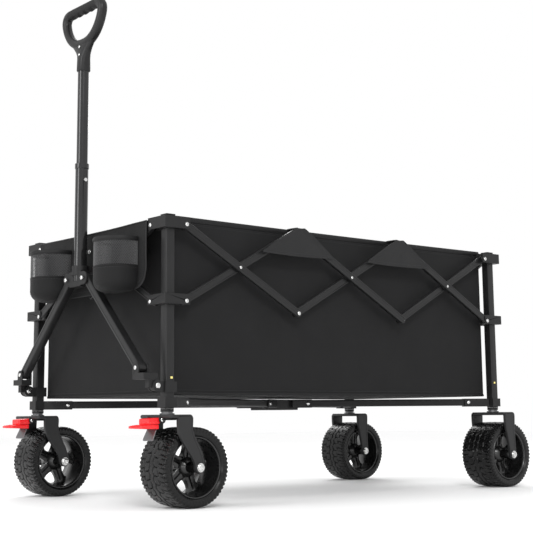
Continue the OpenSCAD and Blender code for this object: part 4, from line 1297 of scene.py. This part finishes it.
def buildFloor(inX, inY):
    # Four quarters, each going with its floor bar and gathering beside it
    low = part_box("floor")[0][2]
    for side in ("near", "far"):
        for end in ("front", "rear"):
            body = f"{side}_{end}_floor_bar"
            cornerX, cornerY = inX[end] - outward[end] * 3 * mm, inY[side] - outward[side] * 3 * mm
            spanX, spanY = abs(cornerX - middleX), abs(cornerY)

            def shape(u, v):
                x, y = middleX + (cornerX - middleX) * u, cornerY * v
                dip = 2.2 * mm * math.sin(math.pi * u) * math.sin(math.pi * v)
                crease = 1.0 * mm * noise.noise(Vector((x * 9, y * 9, 7)))
                return Vector((x, y, low + 2 * mm - dip + crease))

            name = f"floor_{side}_{end}"
            cloth = grid(name, 40, 26, shape, (spanX, spanY), oxford)
            cutCorner(cloth, Vector((middleX, 0, low)), floorLook["cut"])
            if outward[side] * outward[end] < 0:
                cloth.data.flip_normals()
            thicken(cloth, clothLook["thick"])
            line = stitchLine(name + "_stitches", [shape(0.02, k / 26) + Vector((0, 0, 1.1 * mm)) for k in range(8, 27)])
            for made in (cloth, line):
                foldWith(made, body)
            if side == "near" and end == "front":
                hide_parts("floor")


innerX, innerY = buildTub()
buildFloor(innerX, innerY)
buildHubCover(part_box("floor")[0][2])


print("organiser")
organiserLook = {
    "thick": 1.6 * mm, "corner": 46 * mm, "pipe": 1.7 * mm, "cupRadius": 62 * mm, "cupY": 160 * mm, "shift": (8 * mm, -5 * mm), "cupTop": 0.655,
    "meshLow": 0.583, "cupFoot": 0.522, "columns": 52, "rows": 18, "strand": 0.62 * mm, "studZ": 0.642,
}


def buildOrganiser():
    low, high = (Vector(corner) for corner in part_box("organiser"))
    body = "near_front_corner"
    radius = organiserLook["cupRadius"]
    cupX = low.x + radius + organiserLook["shift"][0]
    panelX = low.x + radius + 26 * mm
    half = high.y
    corner = organiserLook["corner"]
    foot = 0.528

    def panelShape(u, v):
        y = half * (2 * u - 1)
        cut = max(0, abs(y) - (half - corner))
        bottom = foot + corner - math.sqrt(max(0, corner ** 2 - cut ** 2))
        top = high.z - 2 * mm - 3 * mm * math.sin(math.pi * u)
        z = bottom + (top - bottom) * v
        ease = min(1, 14 * min(u, 1 - u), 6 * v + 0.1)
        puff = (2.2 * mm * noise.noise(Vector((y * 8, z * 10, 2))) + 1.0 * mm * noise.noise(Vector((y * 24, z * 18, 9)))) * ease
        return Vector((panelX - 1 * mm * math.sin(math.pi * v) + puff, y, z))

    def topShape(u, v):
        edge = panelShape(u, 1)
        back = innerX["front"] - 1.5 * mm
        lift = 3 * mm * math.sin(math.pi * v) + 1.2 * mm * noise.noise(Vector((edge.y * 14, v * 3, 4)))
        return Vector((edge.x + (back - edge.x) * v, edge.y * (1 - 0.02 * v), edge.z + lift))

    parts = []

    def add(made):
        foldWith(made, body)
        parts.append(made)
        return made

    panelSize = (2 * half, high.z - foot)
    panel = thicken(grid("organiser_panel", 72, 24, panelShape, panelSize, panelCloth), organiserLook["thick"])
    topSize = (2 * half, innerX["front"] - panelX)
    shelf = thicken(grid("organiser_top", 72, 8, topShape, topSize, panelCloth), organiserLook["thick"])
    outline = [panelShape(0, 1 - k / 20) for k in range(20)] + [panelShape(i / 72, 0) for i in range(73)]
    outline += [panelShape(1, k / 20) for k in range(1, 21)]
    pipe = cordAlong("organiser_piping", outline, organiserLook["pipe"], flapCloth, 8, 1, False, Vector((1, 0, 0)))
    topPipe = cordAlong("organiser_top_piping", [panelShape(i / 72, 1) for i in range(73)], organiserLook["pipe"] * 1.3,
                        binding, 8)
    seamPath = [panelShape(0.022, 1 - k / 20) for k in range(1, 19)] + [panelShape(i / 72, 0.07) for i in range(3, 70)]
    seamPath += [panelShape(0.978, k / 20) for k in range(2, 20)]
    seam = stitchLine("organiser_stitches", [point - Vector((1.1 * mm, 0, 0)) for point in seamPath])
    add(panel)
    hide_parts("organiser")
    for made in (shelf, pipe, topPipe, seam):
        add(made)

    studs = bpy.data.objects.new("organiser_stud", bpy.data.meshes.new("organiser_stud"))
    bpy.context.scene.collection.objects.link(studs)
    fillPoints(studs, [(Vector((panelX - 2.6 * mm, 0, organiserLook["studZ"])), Vector((-1, 0, 0)), 1.0)])
    runTree(studs, rivets, zinc, Shank=3 * mm)
    add(studs)

    start = math.acos(17 * mm / radius)
    for side in ("near", "far"):
        centreY = outward[side] * organiserLook["cupY"] + organiserLook["shift"][1]

        def edgePoint(turn, z, grow=0.0, flatBack=True):
            angle = start + (2 * math.pi - 2 * start) * turn
            x = cupX + (radius + grow) * math.cos(angle)
            return Vector((min(x, panelX - 1.2 * mm), centreY + (radius + grow) * math.sin(angle), z))

        def pouchShape(u, v):
            # v runs from the middle of the bottom, round the lower corner and up to the net
            reach, fillet = min(1, v / 0.42), 27 * mm
            z = organiserLook["cupFoot"]
            if v > 0.42:
                t = min(1, (v - 0.42) / 0.3)
                z += fillet * (1 - math.cos(t * math.pi / 2))
                z += max(0, v - 0.72) / 0.28 * (organiserLook["meshLow"] - organiserLook["cupFoot"] - fillet)
                inset = fillet * (1 - math.sin(t * math.pi / 2))
            else:
                inset = fillet
            spread = (radius - inset) / radius * reach
            point = edgePoint(u, z)
            hubX = cupX + 4 * mm
            sag = 2 * mm * (1 - reach)
            ripple = 0.7 * mm * noise.noise(Vector((point.y * 20, z * 26, u * 3)))
            grown = spread + ripple / radius
            return Vector((hubX + (point.x - hubX) * grown, centreY + (point.y - centreY) * grown, z - sag))

        pouchSize = (0.31, 0.07)
        pouch = grid(f"cup_{side}_pouch", 56, 24, pouchShape, pouchSize, panelCloth)
        thicken(pouch, 1.8 * mm)
        columns, rows = organiserLook["columns"], organiserLook["rows"]
        lowZ, highZ = organiserLook["meshLow"], organiserLook["cupTop"] - 8 * mm
        work = bmesh.new()
        levels = [[work.verts.new(edgePoint(min(1, max(0, (i + (k % 2) / 2) / columns)), lowZ + (highZ - lowZ) * k / rows))
                   for i in range(columns + 1)] for k in range(rows + 1)]
        for k in range(rows):
            for i in range(columns + 1):
                ahead = i + 1 if k % 2 else i - 1
                for other in (i, ahead):
                    if 0 <= other <= columns:
                        work.edges.new((levels[k][i], levels[k + 1][other]))
        mesh = runTree(toObject(f"cup_{side}_net", work), net, strand, **{"Strand Radius": organiserLook["strand"], "Sides": 4})
        smooth(mesh, 70)
        path = [edgePoint(i / 60, organiserLook["cupTop"] - 4 * mm, 1 * mm) for i in range(61)]
        path += [Vector((panelX - 1.5 * mm, centreY + 1.02 * math.sin(start) * radius * (2 * k / 10 - 1), path[0].z))
                 for k in range(1, 10)]
        band = cordAlong(f"cup_{side}_rim", path, 2.4 * mm, binding, 10, 2.4, True)
        lowBand = cordAlong(f"cup_{side}_seam", [edgePoint(i / 60, lowZ, 0.5 * mm) for i in range(61)], 1.3 * mm, panelCloth, 8, 1.8)
        rimSeam = stitchLine(f"cup_{side}_stitches", [edgePoint(i / 60, lowZ - 5 * mm, 1.0 * mm) for i in range(1, 60)], 4 * mm)
        add(pouch)
        for made in (mesh, band, lowBand, rimSeam):
            add(made)


def fillPoints(obj, spots):
    mesh = obj.data
    mesh.vertices.add(len(spots))
    mesh.vertices.foreach_set("co", [value for place, _, _ in spots for value in place])
    facing = mesh.attributes.new("facing", "FLOAT_VECTOR", "POINT")
    facing.data.foreach_set("vector", [value for _, turn, _ in spots for value in turn])
    size = mesh.attributes.new("size", "FLOAT", "POINT")
    size.data.foreach_set("value", [value for _, _, value in spots])


buildOrganiser()


print("rivets")
for body, spots in rivetSpots.items():
    obj = bpy.data.objects.new("rivets_" + body, bpy.data.meshes.new("rivets_" + body))
    bpy.context.scene.collection.objects.link(obj)
    fillPoints(obj, spots)
    runTree(obj, rivets, zinc)
    piece(obj, body, "steel")
